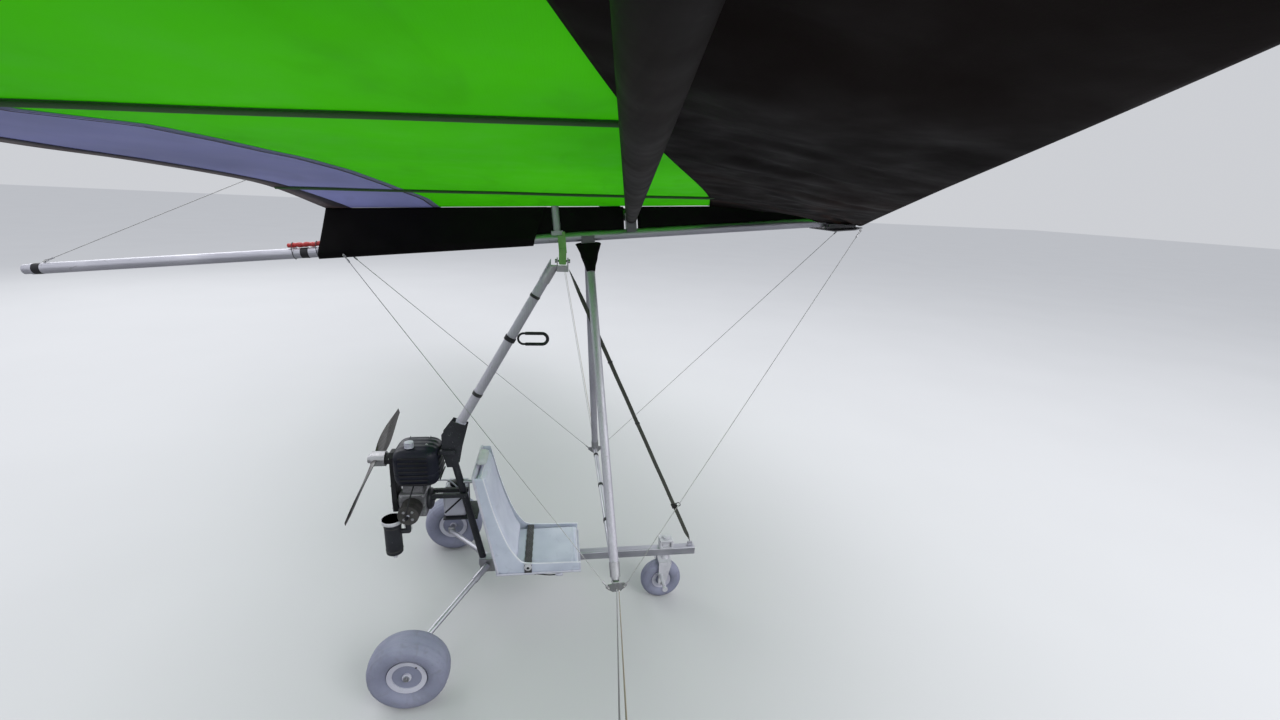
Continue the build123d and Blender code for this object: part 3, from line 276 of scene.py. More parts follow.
def bolt(at, axis, radius=0.006, height=0.005):
    """A hexagon head on a washer, with the bolt's end beyond it."""
    axis = Vector(axis).normalized()
    return [
        lathe([(height * h, radius * r) for h, r in profile], at, axis, sides) for profile, sides in (
            (((0, 0), (0, 1.5), (0.3, 1.5), (0.3, 0)), 20),
            (((0.3, 0.98), (0.35, 1), (0.9, 1), (1, 0.88), (1, 0)), 6),
            (((1, 0.5), (1.35, 0.5), (1.45, 0.4), (1.45, 0)), 12),
        )
    ]


STRAP_OUTLINE = ((-1, -1), (-0.9, -1.25), (0.9, -1.25), (1, -1), (1, 1), (0.9, 1.25), (-0.9, 1.25), (-1, 1))


def strip(line, across, thick):
    """A flat strap along a line of points, across its width vectors, with this thickness."""
    count = len(line)

    def at(i, j):
        k = round(i * (count - 1))
        wide = across[k] if isinstance(across, list) else across
        along = (line[min(k + 1, count - 1)] - line[max(k - 1, 0)]).normalized()
        up = wide.cross(along).normalized()
        y, z = STRAP_OUTLINE[round(j * 8) % 8]
        return line[k] + wide * (y / 2) + up * (z * thick / 2.5)

    return grid(at, count, 8, wrap=True)


def curve_points(spots, count):
    """Points on a smooth curve through the given spots."""
    spots = [Vector(s) for s in spots]
    padded = [spots[0] * 2 - spots[1]] + spots + [spots[-1] * 2 - spots[-2]]
    made = []
    for i in range(count):
        t = i / (count - 1) * (len(spots) - 1)
        k = min(int(t), len(spots) - 2)
        u = t - k
        a, b, c, d = padded[k:k + 4]
        square, cube = 2 * a - 5 * b + 4 * c - d, 3 * b - a - 3 * c + d
        made.append(0.5 * (2 * b + (c - a) * u + square * u * u + cube * u**3))
    return made


def straight(start, end, count=2):
    """Points on a straight line."""
    return [start.lerp(end, i / (count - 1)) for i in range(count)]


def turns(count, start=0.0):
    """Evenly spaced angles round a circle."""
    return [start + math.tau * k / count for k in range(count)]


def both_ends(half):
    """A lathe profile and its mirror image, from (distance from the middle, radius) pairs of one end."""
    return [(-along, radius) for along, radius in half] + half[::-1]


def piece(name, shells, body, material, sharp=40.0, close=True):
    """One object of several shells that rides on a body, in its material."""
    if isinstance(shells, tuple):
        shells = [shells]
    spots, faces = [], []
    for shell in shells:
        faces += [tuple(k + len(spots) for k in face) for face in shell[1]]
        spots += shell[0]
    mesh = bpy.data.meshes.new(name)
    mesh.from_pydata(spots, [], faces)
    made = bmesh.new()
    made.from_mesh(mesh)
    bmesh.ops.remove_doubles(made, verts=made.verts, dist=4e-5)
    if close:
        rims = [e for e in made.edges if e.is_boundary]
        if rims:
            bmesh.ops.holes_fill(made, edges=rims, sides=0)
        bmesh.ops.recalc_face_normals(made, faces=made.faces)
    for face in made.faces:
        face.smooth = True
    for edge in made.edges:
        if len(edge.link_faces) == 2:
            edge.smooth = edge.calc_face_angle(0.0) < math.radians(sharp)
    made.to_mesh(mesh)
    made.free()
    thing = bpy.data.objects.new(name, mesh)
    bpy.context.scene.collection.objects.link(thing)
    mesh.materials.append(material)
    if body:
        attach(thing, body)
    return thing


def cloth(name, shells, material, thick, body="wing", offset=0.0):
    """A sheet with open edges, given its thickness."""
    thing = piece(name, shells, body, material, close=False)
    solid = thing.modifiers.new("Thickness", "SOLIDIFY")
    solid.thickness, solid.offset = thick, offset
    return thing


def lift(z):
    """A step straight up, or down if negative."""
    return Vector((0, 0, z))


# Materials

NOISE_LOW, NOISE_HIGH = 0.3, 0.7


class Shader:
    """Builds one node material step by step."""

    def __init__(self, name, rough=0.5, metal=0.0, sheen=0.0, coat=0.0, shine=0.5):
        self.material = bpy.data.materials.new(name)
        self.material.use_nodes = True
        self.tree = self.material.node_tree
        self.shader = self.tree.nodes["Principled BSDF"]
        for socket, value in (
            ("Roughness", rough), ("Metallic", metal), ("Sheen Weight", sheen), ("Coat Weight", coat),
            ("Specular IOR Level", shine),
        ):
            self.shader.inputs[socket].default_value = value
        self.place = self.node("ShaderNodeTexCoord").outputs["Object"]

    def node(self, kind, mode=None, **inputs):
        """A new node, with its operation and with its sockets linked or set."""
        made = self.tree.nodes.new(kind)
        if mode:
            made.operation = mode
        for key, value in inputs.items():
            self.put(made.inputs[key.replace("_", " ")], value)
        return made

    def put(self, socket, value):
        if isinstance(value, bpy.types.NodeSocket):
            self.tree.links.new(value, socket)
        else:
            socket.default_value = value

    def stretched(self, scale):
        """Object coordinates with each axis scaled."""
        return self.node("ShaderNodeMapping", Vector=self.place, Scale=scale).outputs["Vector"]

    def noise(self, scale, detail=3.0, distort=0.0, place=None):
        made = self.node(
            "ShaderNodeTexNoise", Vector=place or self.place, Scale=scale, Detail=detail, Distortion=distort
        )
        return made.outputs["Fac"]

    def wave(self, scale, axis, distort=0.0, place=None):
        made = self.node("ShaderNodeTexWave", Vector=place or self.place, Scale=scale, Distortion=distort)
        made.bands_direction = axis
        return made.outputs["Fac"]

    def span(self, value, low, high, to_low=0.0, to_high=1.0):
        made = self.node(
            "ShaderNodeMapRange", Value=value, From_Min=low, From_Max=high, To_Min=to_low, To_Max=to_high
        )
        return made.outputs["Result"]

    def maths(self, kind, a, b):
        made = self.node("ShaderNodeMath", kind)
        self.put(made.inputs[0], a)
        self.put(made.inputs[1], b)
        return made.outputs[0]

    def mix(self, share, a, b):
        made = self.node("ShaderNodeMix")
        made.data_type = "RGBA"
        for key, value in (("Factor", share), ("A", a), ("B", b)):
            self.put(made.inputs[key], (*value, 1.0) if isinstance(value, tuple) else value)
        return made.outputs["Result"]

    def two_tone(self, scale, detail, dark, light):
        """A slow drift between two colours."""
        return self.mix(self.span(self.noise(scale, detail), NOISE_LOW, NOISE_HIGH), dark, light)

    def patch(self, shade, mask, low, high, share, colour):
        """Lays a colour over a shade where the mask runs from low to high."""
        return self.mix(self.span(mask, low, high, 0.0, share), shade, colour)

    def round_place(self, centre):
        """Noise that runs in rays from a place, on both sides alike, and the distance from that place."""
        away = self.node("ShaderNodeVectorMath", "SUBTRACT")
        self.put(away.inputs[0], self.place)
        away.inputs[1].default_value = centre
        parts = self.node("ShaderNodeSeparateXYZ", Vector=away.outputs["Vector"])
        out = self.maths("ABSOLUTE", parts.outputs["Y"], 0.0)
        turn = self.maths("ARCTAN2", out, self.maths("MULTIPLY", parts.outputs["X"], -1.0))
        length = self.node("ShaderNodeVectorMath", "LENGTH")
        self.put(length.inputs[0], away.outputs["Vector"])
        reach = length.outputs["Value"]
        spot = self.node("ShaderNodeCombineXYZ", X=self.maths("MULTIPLY", turn, 3.4), Y=reach)
        return self.noise(1.7, 3.0, 0.4, spot.outputs["Vector"]), reach

    def bump(self, height, depth, strength=0.5):
        """Adds a bump layer of this depth in metres."""
        made = self.node("ShaderNodeBump", Height=height, Distance=depth, Strength=strength)
        if self.shader.inputs["Normal"].is_linked:
            self.tree.links.new(self.shader.inputs["Normal"].links[0].from_socket, made.inputs["Normal"])
        self.tree.links.new(made.outputs["Normal"], self.shader.inputs["Normal"])

    def colour(self, value):
        self.put(self.shader.inputs["Base Color"], value)

    def roughness(self, mask, low, high):
        self.put(self.shader.inputs["Roughness"], self.span(mask, NOISE_LOW, NOISE_HIGH, low, high))

    def let_through(self, colour, share):
        """Mixes in light that passes through the cloth."""
        through = self.node("ShaderNodeBsdfTranslucent", Color=colour)
        mixed = self.node("ShaderNodeMixShader")
        for socket, value in zip(mixed.inputs, (share, self.shader.outputs[0], through.outputs[0])):
            self.put(socket, value)
        self.tree.links.new(mixed.outputs[0], self.tree.nodes["Material Output"].inputs["Surface"])


def shaded(colour, share):
    """The same colour, darker or lighter."""
    return tuple(k * share for k in colour)


# Colour and reach of a painted highlight: warm sunlit streaks on the folds round the nose.
PAINTED_SUN_HIGHLIGHT = (0.095, 0.042, 0.028)
PAINTED_HIGHLIGHT_REACH = 1.9


def sailcloth(name, dark, light, through=0.0, crinkle=0.0006, sheen=0.0, shine=0.35, painted_highlight_at=None):
    """Taut woven sailcloth: fine ripstop grid, panel shading, hand creases, and a painted warm highlight of sunlit
    folds round a place.
    """
    made = Shader(name, rough=0.62, sheen=sheen, shine=shine)
    made.shader.inputs["Sheen Tint"].default_value = (1.0, 0.55, 0.38, 1.0)
    made.shader.inputs["Sheen Roughness"].default_value = 0.35
    crease = made.noise(5.0, 6.0, 1.2, made.stretched((1.0, 0.35, 1.0)))
    weave = made.maths("MAXIMUM", made.wave(62.0, "X"), made.wave(62.0, "Y"))
    ripstop = made.maths("MULTIPLY", made.span(weave, 0.975, 1.0), 0.1)
    shade = made.patch(made.two_tone(1.3, 4.0, dark, light), crease, 0.58, 0.75, 0.25, shaded(dark, 0.72))
    shade = made.mix(ripstop, shade, shaded(dark, 0.55))
    # Painted highlight: warm streaks of sunlit folds laid into the colour round a place.
    if painted_highlight_at:
        ray, reach = made.round_place(painted_highlight_at)
        highlight_mask = made.maths("MULTIPLY", made.span(ray, 0.5, 0.72), made.span(reach, PAINTED_HIGHLIGHT_REACH, 0.1))
        shade = made.mix(made.maths("MULTIPLY", highlight_mask, 0.5), shade, PAINTED_SUN_HIGHLIGHT)
    made.colour(shade)
    made.roughness(made.noise(9.0), 0.5, 0.72)
    made.bump(made.noise(420.0, 2.0), 0.0002, 0.3)
    made.bump(crease, crinkle, 0.6)
    if through:
        made.let_through(shade, through)
    return made.material


def anodised(name, dark, light, along, rough=(0.24, 0.42), metal=1.0, shine=0.5, worn=(0.16, 0.15, 0.14)):
    """Drawn and anodised tube: die lines along it, scuffs and a little grime."""
    made = Shader(name, metal=metal, shine=shine)
    lines = made.noise(1.0, 5.0, 0.0, made.stretched(tuple(2.5 if axis == along else 170.0 for axis in "XYZ")))
    shade = made.patch(made.two_tone(3.5, 4.0, dark, light), lines, 0.35, 0.7, 0.35, shaded(dark, 0.7))
    made.colour(made.patch(shade, made.noise(34.0, 5.0, 1.5), 0.66, 0.75, 0.45, worn))
    made.roughness(made.noise(14.0, 5.0), *rough)
    made.bump(lines, 0.0002, 0.25)
    return made.material


def painted(name, dark, light, rough=(0.3, 0.5), metal=0.0, chip=None, coat=0.0, shine=0.5):
    """Paint or moulded plastic: faint orange peel, dulled patches, and chips where given."""
    made = Shader(name, metal=metal, coat=coat, shine=shine)
    grime = made.noise(22.0, 6.0, 0.8)
    shade = made.patch(made.two_tone(7.0, 5.0, dark, light), grime, 0.58, 0.78, 0.35, shaded(dark, 0.55))
    if chip:
        shade = made.patch(shade, made.noise(120.0, 3.0, 2.0), 0.7, 0.73, 1.0, chip)
    made.colour(shade)
    made.roughness(grime, *rough)
    made.bump(made.noise(260.0, 2.0), 0.0002, 0.4)
    return made.material


def cast(name, dark, light, metal=0.9):
    """Sand-cast alloy: coarse grain and oil stains."""
    made = Shader(name, metal=metal)
    grain, stain = made.noise(240.0, 4.0), made.noise(12.0, 6.0, 1.0)
    shade = made.mix(made.span(stain, 0.35, 0.7), light, dark)
    made.colour(made.patch(shade, grain, 0.4, 0.7, 0.3, shaded(dark, 0.5)))
    made.roughness(stain, 0.42, 0.68)
    made.bump(grain, 0.0005, 0.5)
    return made.material


def rubber(name, dark, light, dust):
    """Old pale balloon tyre rubber: dusty patches and fine cracks."""
    made = Shader(name, sheen=0.05)
    shade = made.two_tone(6.0, 5.0, dark, light)
    shade = made.patch(shade, made.noise(17.0, 6.0, 1.4), 0.52, 0.72, 0.6, dust)
    made.colour(made.patch(shade, made.noise(150.0, 4.0), 0.62, 0.72, 0.3, shaded(dark, 0.6)))
    made.roughness(made.noise(30.0), 0.62, 0.85)
    made.bump(made.noise(190.0, 3.0), 0.0004, 0.5)
    return made.material


def vinyl(name, dark, light):
    """Grained seat vinyl with soft creases."""
    made = Shader(name, coat=0.08)
    made.shader.inputs["Coat Roughness"].default_value = 0.45
    crease = made.noise(16.0, 4.0, 0.7, made.stretched((1.0, 0.4, 1.0)))
    shade = made.two_tone(5.0, 5.0, dark, light)
    made.colour(made.patch(shade, crease, 0.6, 0.72, 0.3, shaded(dark, 0.72)))
    made.roughness(made.noise(40.0), 0.42, 0.6)
    grain = made.node("ShaderNodeTexVoronoi", Vector=made.place, Scale=520.0)
    made.bump(grain.outputs["Distance"], 0.0004, 0.35)
    made.bump(crease, 0.0016, 0.5)
    return made.material


def webbing(name, dark, light, along="X"):
    """Woven polyester strap: herringbone ribs and paler worn patches."""
    made = Shader(name, rough=0.75, sheen=0.3)
    rib = made.wave(220.0, "DIAGONAL")
    made.colour(made.patch(
        made.mix(rib, dark, light), made.noise(18.0, 5.0), 0.4, 0.7, 0.5, shaded(light, 1.7)
    ))
    made.bump(made.maths("ADD", rib, made.wave(150.0, along)), 0.0006, 0.6)
    return made.material


def stranded(name, dark, light, metal=1.0):
    """Seven-strand cable: a twist along it."""
    made = Shader(name, rough=0.38, metal=metal)
    twist = made.wave(160.0, "DIAGONAL", 0.3)
    made.colour(made.mix(twist, dark, light))
    made.roughness(made.noise(60.0), 0.3, 0.5)
    made.bump(twist, 0.0005, 0.8)
    return made.material


green = sailcloth("green_sailcloth", (0.138, 0.6, 0.008), (0.188, 0.705, 0.0135), through=0.55, shine=0.2)
# Partly painted shade: the darker greens of the seams and batten pockets stand in for light held back by the doubled
# cloth and the battens inside.
seam_green_painted_shade = sailcloth("seam_cloth_painted_shade", (0.012, 0.06, 0.006), (0.022, 0.1, 0.01), through=0.1)
pocket_green_painted_shade = sailcloth("batten_pocket_cloth_painted_shade", (0.055, 0.125, 0.05), (0.09, 0.185, 0.075), through=0.2)
black = sailcloth("black_cloth", (0.003, 0.0026, 0.003), (0.008, 0.0068, 0.0074), crinkle=0.003, shine=0.06)
# The under panel carries the painted warm highlight of sunlit folds round the nose.
panel_black = sailcloth(
    "black_under_panel", (0.0052, 0.0038, 0.0038), (0.015, 0.0108, 0.01), crinkle=0.003, shine=0.025,
    painted_highlight_at=wing(1.56, 0, 0.05),
)
grey_band = sailcloth("grey_trailing_cloth", (0.33, 0.345, 0.54), (0.48, 0.5, 0.76), through=0.35)
hem_cloth = sailcloth("dark_hem_tape", (0.046, 0.044, 0.058), (0.08, 0.076, 0.096), through=0.05, sheen=0.1)
tube_x = anodised("anodised_tube_x", (0.38, 0.38, 0.43), (0.54, 0.54, 0.59), "X", (0.34, 0.5), 0.8)
tube_y = anodised("anodised_tube_y", (0.44, 0.44, 0.49), (0.62, 0.62, 0.67), "Y", (0.32, 0.5), 0.8)
tube_z = anodised("anodised_tube_z", (0.4, 0.39, 0.44), (0.56, 0.55, 0.61), "Z", (0.42, 0.6), 0.6)
crossbar_tube = anodised(
    "crossbar_tube", (0.009, 0.0072, 0.0066), (0.022, 0.0175, 0.0155), "Y", (0.5, 0.66), 0.0, 0.06,
    (0.05, 0.043, 0.038),
)
dark_fitting = anodised("dark_fitting", (0.1, 0.1, 0.105), (0.17, 0.17, 0.18), "X", (0.36, 0.5), 0.8)
bright_rim = anodised("bright_rim", (0.62, 0.62, 0.65), (0.8, 0.8, 0.84), "Z", (0.42, 0.56), 0.5)
steel = anodised("zinc_plated_steel", (0.36, 0.36, 0.37), (0.52, 0.52, 0.54), "Z", (0.3, 0.48))
# Painted light: the hang bracket and swivel block take the sail's green light as their colour.
sail_lit_green = painted(
    "green_lit_bracket", (0.13, 0.3, 0.08), (0.2, 0.42, 0.12), metal=0.5, chip=(0.4, 0.42, 0.4)
)
cable = stranded("stranded_cable", (0.22, 0.22, 0.22), (0.55, 0.55, 0.54))
side_line = stranded("side_wire_sleeve", (0.26, 0.19, 0.13), (0.46, 0.36, 0.25), 0.0)
dark_paint = painted(
    "dark_painted_metal", (0.02, 0.021, 0.025), (0.04, 0.042, 0.05), (0.35, 0.55), 0.2, (0.3, 0.3, 0.31),
    shine=0.3,
)
pale_paint = painted(
    "pale_painted_metal", (0.46, 0.46, 0.5), (0.62, 0.62, 0.66), metal=0.1, chip=(0.2, 0.19, 0.18)
)
black_plastic = painted(
    "black_moulding", (0.01, 0.01, 0.012), (0.024, 0.024, 0.028), (0.4, 0.6), shine=0.25
)
blue_black = painted(
    "blue_black_shroud", (0.006, 0.007, 0.014), (0.015, 0.017, 0.029), (0.32, 0.5), 0.1, (0.09, 0.09, 0.1),
    0.03, 0.25,
)
pale_plastic = painted("pale_moulding", (0.42, 0.42, 0.5), (0.56, 0.56, 0.64), (0.4, 0.6))
seat_moulding = painted("seat_moulding", (0.43, 0.47, 0.57), (0.55, 0.59, 0.69), (0.35, 0.5), coat=0.08)
alloy = cast("bare_casting", (0.2, 0.2, 0.21), (0.44, 0.44, 0.46))
dark_alloy = cast("sooty_casting", (0.04, 0.038, 0.038), (0.11, 0.105, 0.1), 0.6)
tyre_rubber = rubber("pale_tyre_rubber", (0.185, 0.195, 0.275), (0.245, 0.255, 0.345), (0.175, 0.18, 0.225))
seat_vinyl = vinyl("seat_vinyl", (0.46, 0.48, 0.6), (0.62, 0.64, 0.75))
piping_vinyl = vinyl("piping_vinyl", (0.66, 0.67, 0.74), (0.8, 0.81, 0.86))
towel_cloth = sailcloth(
    "head_roll_cloth", (0.42, 0.46, 0.46), (0.72, 0.74, 0.76), crinkle=0.003, sheen=0.1
)
black_web = webbing("black_webbing", (0.006, 0.006, 0.007), (0.02, 0.02, 0.022))
olive_web = webbing("dark_olive_webbing", (0.016, 0.017, 0.012), (0.045, 0.047, 0.036), "Z")
red_paint = painted("red_plastic", (0.3, 0.012, 0.012), (0.46, 0.03, 0.03))

blade_wood = Shader("lacquered_blade", coat=0.5)
blade_wood.shader.inputs["Coat Roughness"].default_value = 0.12
year_rings = blade_wood.wave(26.0, "Z", 3.0, blade_wood.stretched((1.0, 0.25, 1.0)))
blade_wood.colour(blade_wood.mix(year_rings, (0.016, 0.013, 0.012), (0.05, 0.038, 0.03)))
blade_wood.roughness(blade_wood.noise(40.0), 0.25, 0.45)
blade_wood.bump(year_rings, 0.0003, 0.3)

NODE_MATERIALS = {
    tube_x: ("wing_keel", "trike_keel"),
    tube_y: ("leading_edges", "base_bar", "legs", "seat_strut"),
    tube_z: ("downtubes", "mast", "kingpost"),
    crossbar_tube: ("crossbars",),
    dark_fitting: ("keel_fittings",),
    steel: (
        "corner_fittings", "crossbar_brackets", "axles", "front_axle", "leg_bracket",
        "mast_head", "propeller_hub",
    ),
    sail_lit_green: ("hang_bracket", "swivel_block"),
    cable: ("lower_stays", "upper_stays"),
    dark_paint: ("rear_post", "mast_foot_plates", "engine_mounts", "silencer", "exhaust_pipe"),
    pale_paint: ("steering_head", "fork_crown", "fork_blades"),
    black_plastic: ("belt_drive", "mast_loop"),
    blue_black: ("engine_cowl",),
    pale_plastic: ("fuel_tank", "seat_pan", "seat_back", "rim_left", "rim_right", "front_rim"),
    alloy: ("engine_case",),
    dark_alloy: ("engine_cylinder",),
    tyre_rubber: ("tyre_left", "tyre_right", "front_tyre"),
    blade_wood.material: ("propeller_blades",),
    black_web: ("lap_belt",),
    olive_web: ("front_strap",),
    seat_vinyl: ("back_cushion", "pan_cushion", "head_roll"),
    black: ("keel_pocket", "apex_cover", "leading_pocket_left", "leading_pocket_right"),
    green: ("sail_left", "sail_right"),
    grey_band: ("trailing_bands",),
    pocket_green_painted_shade: ("battens",),
}
for material, names in NODE_MATERIALS.items():
    for name in names:
        nodes[name].data.materials.clear()
        nodes[name].data.materials.append(material)

# Sail, trailing bands and hems

SIDES = ((1, "left"), (-1, "right"))
KINGPOST_X = -0.02
for side, name in SIDES:
    def on_sail(i, j, side=side):
        out = TIP_OUT * i
        return sail_point(out, j * (band_front(out) + 0.004), side)

    sail = cloth("sail_cloth_" + name, grid(on_sail, 150, 90), green, CLOTH)
    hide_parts("sail_" + name)

    def on_band(i, j, side=side):
        out = TIP_OUT * i
        first = band_front(out) - 0.006
        return sail_point(out, first + (1 - first) * j, side) - lift(0.0022 * (1 - j * 0.6))

    band = cloth("trailing_cloth_" + name, grid(on_band, 150, 14), grey_band, CLOTH)
    if side > 0:
        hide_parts("trailing_bands")

    def on_hem(i, j, side=side):
        out = TIP_OUT * i
        last = share_at(out, station(out)["rear_x"] + 0.07 + 0.045 * math.exp(-((out / 0.3) ** 2)))
        return sail_point(out, last + (1 - last) * j, side) - lift(0.0032)

    hem = cloth("trailing_hem_" + name, grid(on_hem, 120, 3), hem_cloth, 0.0012)

    edge = []
    for k in range(181):
        out = 0.004 + (TIP_OUT - 0.008) * k / 180
        edge.append(sail_point(out, band_front(out) + 0.002, side) - lift(0.0052))
    piece("band_seam_" + name, strip(edge, Vector((0.0055, 0, 0)), 0.0008), "wing", hem_cloth)

# Black under panel, round the leading edge tube and back to the batten line

FOLD_X, FOLD_OUT = 1.56, 0.12
ROUND_SHARE = 0.2


def under_point(out, share, side):
    """A point on the pocket: share 0 on the leading edge's top line, 0.2 at its lowest line, 1 at the rear."""
    row = station(out)
    drop = POCKET_DROP + row["sag"]
    front = (row["edge_x"], row["edge_z"] - 0.0005)
    nose = (row["edge_x"] + POCKET_NOSE, row["edge_z"] - drop / 2)
    low = (row["edge_x"] - EDGE_TUBE_BACK, row["edge_z"] - drop)
    rear = (row["mid_x"], row["mid_z"] - 0.0022)
    if share < ROUND_SHARE:
        x, z = arc(front, nose, low, share / ROUND_SHARE)
        return wing(x, side * out, z)
    t = (share - ROUND_SHARE) / (1 - ROUND_SHARE)
    x, z = low[0] + t * (rear[0] - low[0]), low[1] + t * (rear[1] - low[1])
    room = math.sin(math.pi * t) ** 0.7
    ridge = 1 - abs(noise.noise(Vector((x * 1.6 + out * 1.9, out * 3.4 - x * 0.8, side * 3)))) * 2.2
    fine = noise.noise(Vector((x * 9 + out * 3, out * 11, side * 5)))
    fold = 0.016 * ridge - 0.008 + 0.003 * fine - 0.01 * (1 - t) * (0.5 + 0.5 * math.sin(out * 7.3 + side))
    reach = math.hypot(x - FOLD_X, out - FOLD_OUT)
    angle = math.atan2(out - FOLD_OUT, FOLD_X - x)
    near = math.exp(-((reach / 0.42) ** 2)) * min(1.0, reach / 0.08)
    fold += near * (0.022 * (1 - abs(math.sin(angle * 3.5 + 0.6)) * 1.6) + 0.006 * math.sin(angle * 17))
    return wing(x, side * out, z + room * fold)


JUNCTION_Y, WINDOW_HALF, POCKET_ROOT = 3.6, 0.072, 0.034


def under_part(side, start, end, first, rows, columns):
    """The under panel between two distances out, from this share of its chord to its rear."""
    return grid(
        lambda i, j: under_point(start + (end - start) * i, first + (1 - first) * j, side), rows, columns
    )


for side, name in SIDES:
    panel_shells = [
        under_part(side, POCKET_ROOT, JUNCTION_Y - WINDOW_HALF, 0.0, 150, 64),
        under_part(side, JUNCTION_Y + WINDOW_HALF, TIP_OUT, 0.0, 44, 64),
        under_part(side, JUNCTION_Y - WINDOW_HALF, JUNCTION_Y + WINDOW_HALF, 0.52, 8, 24),
    ]
    panel = cloth("under_panel_" + name, panel_shells, panel_black, 0.0012)
    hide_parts("leading_pocket_" + name)

# Batten pockets under the cloth, with their stitching


def chord_line(out, first, last, side, rise):
    """Places along the chord from one share to another, this far above the sail."""
    return [sail_point(out, first + (last - first) * k / 60, side) + lift(rise) for k in range(61)]


BATTEN_SHARES = (0.435, 0.995)
pockets, stitches = [], []
for out in BATTEN_OUTS:
    for side in (1, -1):
        pockets.append(tube(chord_line(out, *BATTEN_SHARES, side, -0.0062), 0.0074, 12, 0.8))
        for shift in (-0.013, 0.013):
            seam = chord_line(out + shift, *BATTEN_SHARES, side, -0.0026)
            stitches.append(strip(seam, Vector((0, 0.008, 0)), 0.0012))
batten_sleeves = piece("batten_pockets", pockets, "wing", pocket_green_painted_shade)
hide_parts("battens")
piece("batten_seams", stitches, "wing", seam_green_painted_shade)

# Keel pocket

PLACKET_FRONT, PLACKET_SLANT, PLACKET_HALF = -0.15, 0.09, 0.029
BEND_SHARE, BEND_Z, BEND_LEAN = 0.6, 0.004, 0.85
root = station(0.0)


def root_z(x):
    """Height of the cloth on the symmetry plane, aft of the under panel."""
    return root["mid_z"] + (root["rear_z"] - root["mid_z"]) * (x - root["mid_x"]) / (root["rear_x"] - root["mid_x"])


def root_under(x):
    """Height just under the cloth on the symmetry plane, at any X."""
    if x < root["mid_x"]:
        return root_z(x) - 0.002
    low_share, high_share = 0.0, UNDER_SHARE
    crest = ((root["edge_x"] + root["mid_x"]) / 2, (root["edge_z"] + root["mid_z"]) / 2 + root["bulge"])
    front, rear = (root["edge_x"], root["edge_z"]), (root["mid_x"], root["mid_z"])
    for _ in range(24):
        middle = (low_share + high_share) / 2
        if arc(front, crest, rear, middle / UNDER_SHARE)[0] > x:
            low_share = middle
        else:
            high_share = middle
    return arc(front, crest, rear, middle / UNDER_SHARE)[1] - 0.002


def placket(i, j):
    """The keel pocket: i from its front to its rear, j round from one top edge under the keel to the other."""
    top_x = PLACKET_FRONT + PLACKET_SLANT + (root["rear_x"] - PLACKET_FRONT - PLACKET_SLANT) * i
    low_x = PLACKET_FRONT + (root["rear_x"] - 0.08 - PLACKET_FRONT) * i
    high, low = root_z(top_x) - 0.001, -KEEL_R - 0.0075
    angle = (j - 0.5) * 2
    down = 1 - abs(angle)
    if down < BEND_SHARE:
        t = down / BEND_SHARE
        x = top_x + (low_x - top_x) * t * BEND_LEAN
        z = high + (BEND_Z - high) * t
        y = 0.0025 + 0.0265 * t**1.6
    else:
        t = (down - BEND_SHARE) / (1 - BEND_SHARE)
        x = low_x + (top_x - low_x) * (1 - BEND_LEAN) * (1 - t)
        z = BEND_Z + (low - BEND_Z) * math.sin(t * math.pi / 2)
        y = PLACKET_HALF * math.cos(t * math.pi / 2)
    fold = 0.003 * noise.noise(Vector((x * 7 + z * 5, z * 9, 2.0))) * math.sin(math.pi * min(1, down * 1.2))
    swing = 0.0012 * math.sin(x * 8 + z * 6) * math.sin(math.pi * min(1, down))
    return wing(x, math.copysign(y + fold, angle) + swing, z)


fin = cloth("keel_pocket_cloth", grid(placket, 90, 56), black, 0.0012, offset=-1.0)
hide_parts("keel_pocket")

# Cushions: blown up as cloth, then sewn


def prism(points, half):
    """A closed block from a side outline of (x, z) pairs, with this half width."""
    made = bmesh.new()
    near = [made.verts.new(trike(x, -half, z)) for x, z in points]
    far = [made.verts.new(trike(x, half, z)) for x, z in points]
    made.faces.new(near)
    made.faces.new(far[::-1])
    for k in range(len(points)):
        n = (k + 1) % len(points)
        made.faces.new((near[k], far[k], far[n], near[n]))
    bmesh.ops.recalc_face_normals(made, faces=made.faces)
    sharp_edges = [e for e in made.edges if e.calc_face_angle(0.0) > math.radians(30)]
    bmesh.ops.bevel(made, geom=sharp_edges, offset=0.014, segments=3, profile=0.5, affect="EDGES")
    return bmesh_shell(made)


def evaluated(thing):
    """A new mesh of a thing with its modifiers applied; they are taken off."""
    made = bpy.data.meshes.new_from_object(thing.evaluated_get(bpy.context.evaluated_depsgraph_get()))
    thing.modifiers.clear()
    thing.data = made
    return made


def cushion(name, shell, material, cap, hold, press, voxel=0.006):
    """A pad whose cover is blown up as cloth, held off what it rests on, then pressed along its seams."""
    thing = piece(name, shell, None, material)
    modifier = thing.modifiers.new("Even mesh", "REMESH")
    modifier.mode = "VOXEL"
    modifier.voxel_size = voxel
    start = [v.co.copy() for v in evaluated(thing).vertices]
    settings = thing.modifiers.new("Cover", "CLOTH").settings
    settings.quality = 5
    settings.mass = 0.3
    settings.tension_stiffness = settings.compression_stiffness = 12
    settings.bending_stiffness = 0.4
    settings.use_pressure = True
    settings.uniform_pressure_force = 4.0
    settings.effector_weights.gravity = 0
    for step in range(1, 21):
        bpy.context.scene.frame_set(step)
    evaluated(thing)
    bpy.context.scene.frame_set(1)
    for vertex, before in zip(thing.data.vertices, start):
        move = vertex.co - before
        if move.length > cap:
            move *= cap / move.length
        vertex.co = hold(press(before + move))
    for polygon in thing.data.polygons:
        polygon.use_smooth = True
    thing.data.materials.clear()
    thing.data.materials.append(material)
    soft = thing.modifiers.new("Smooth", "SUBSURF")
    soft.levels = soft.render_levels = 1
    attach(thing, "trike")
    return thing


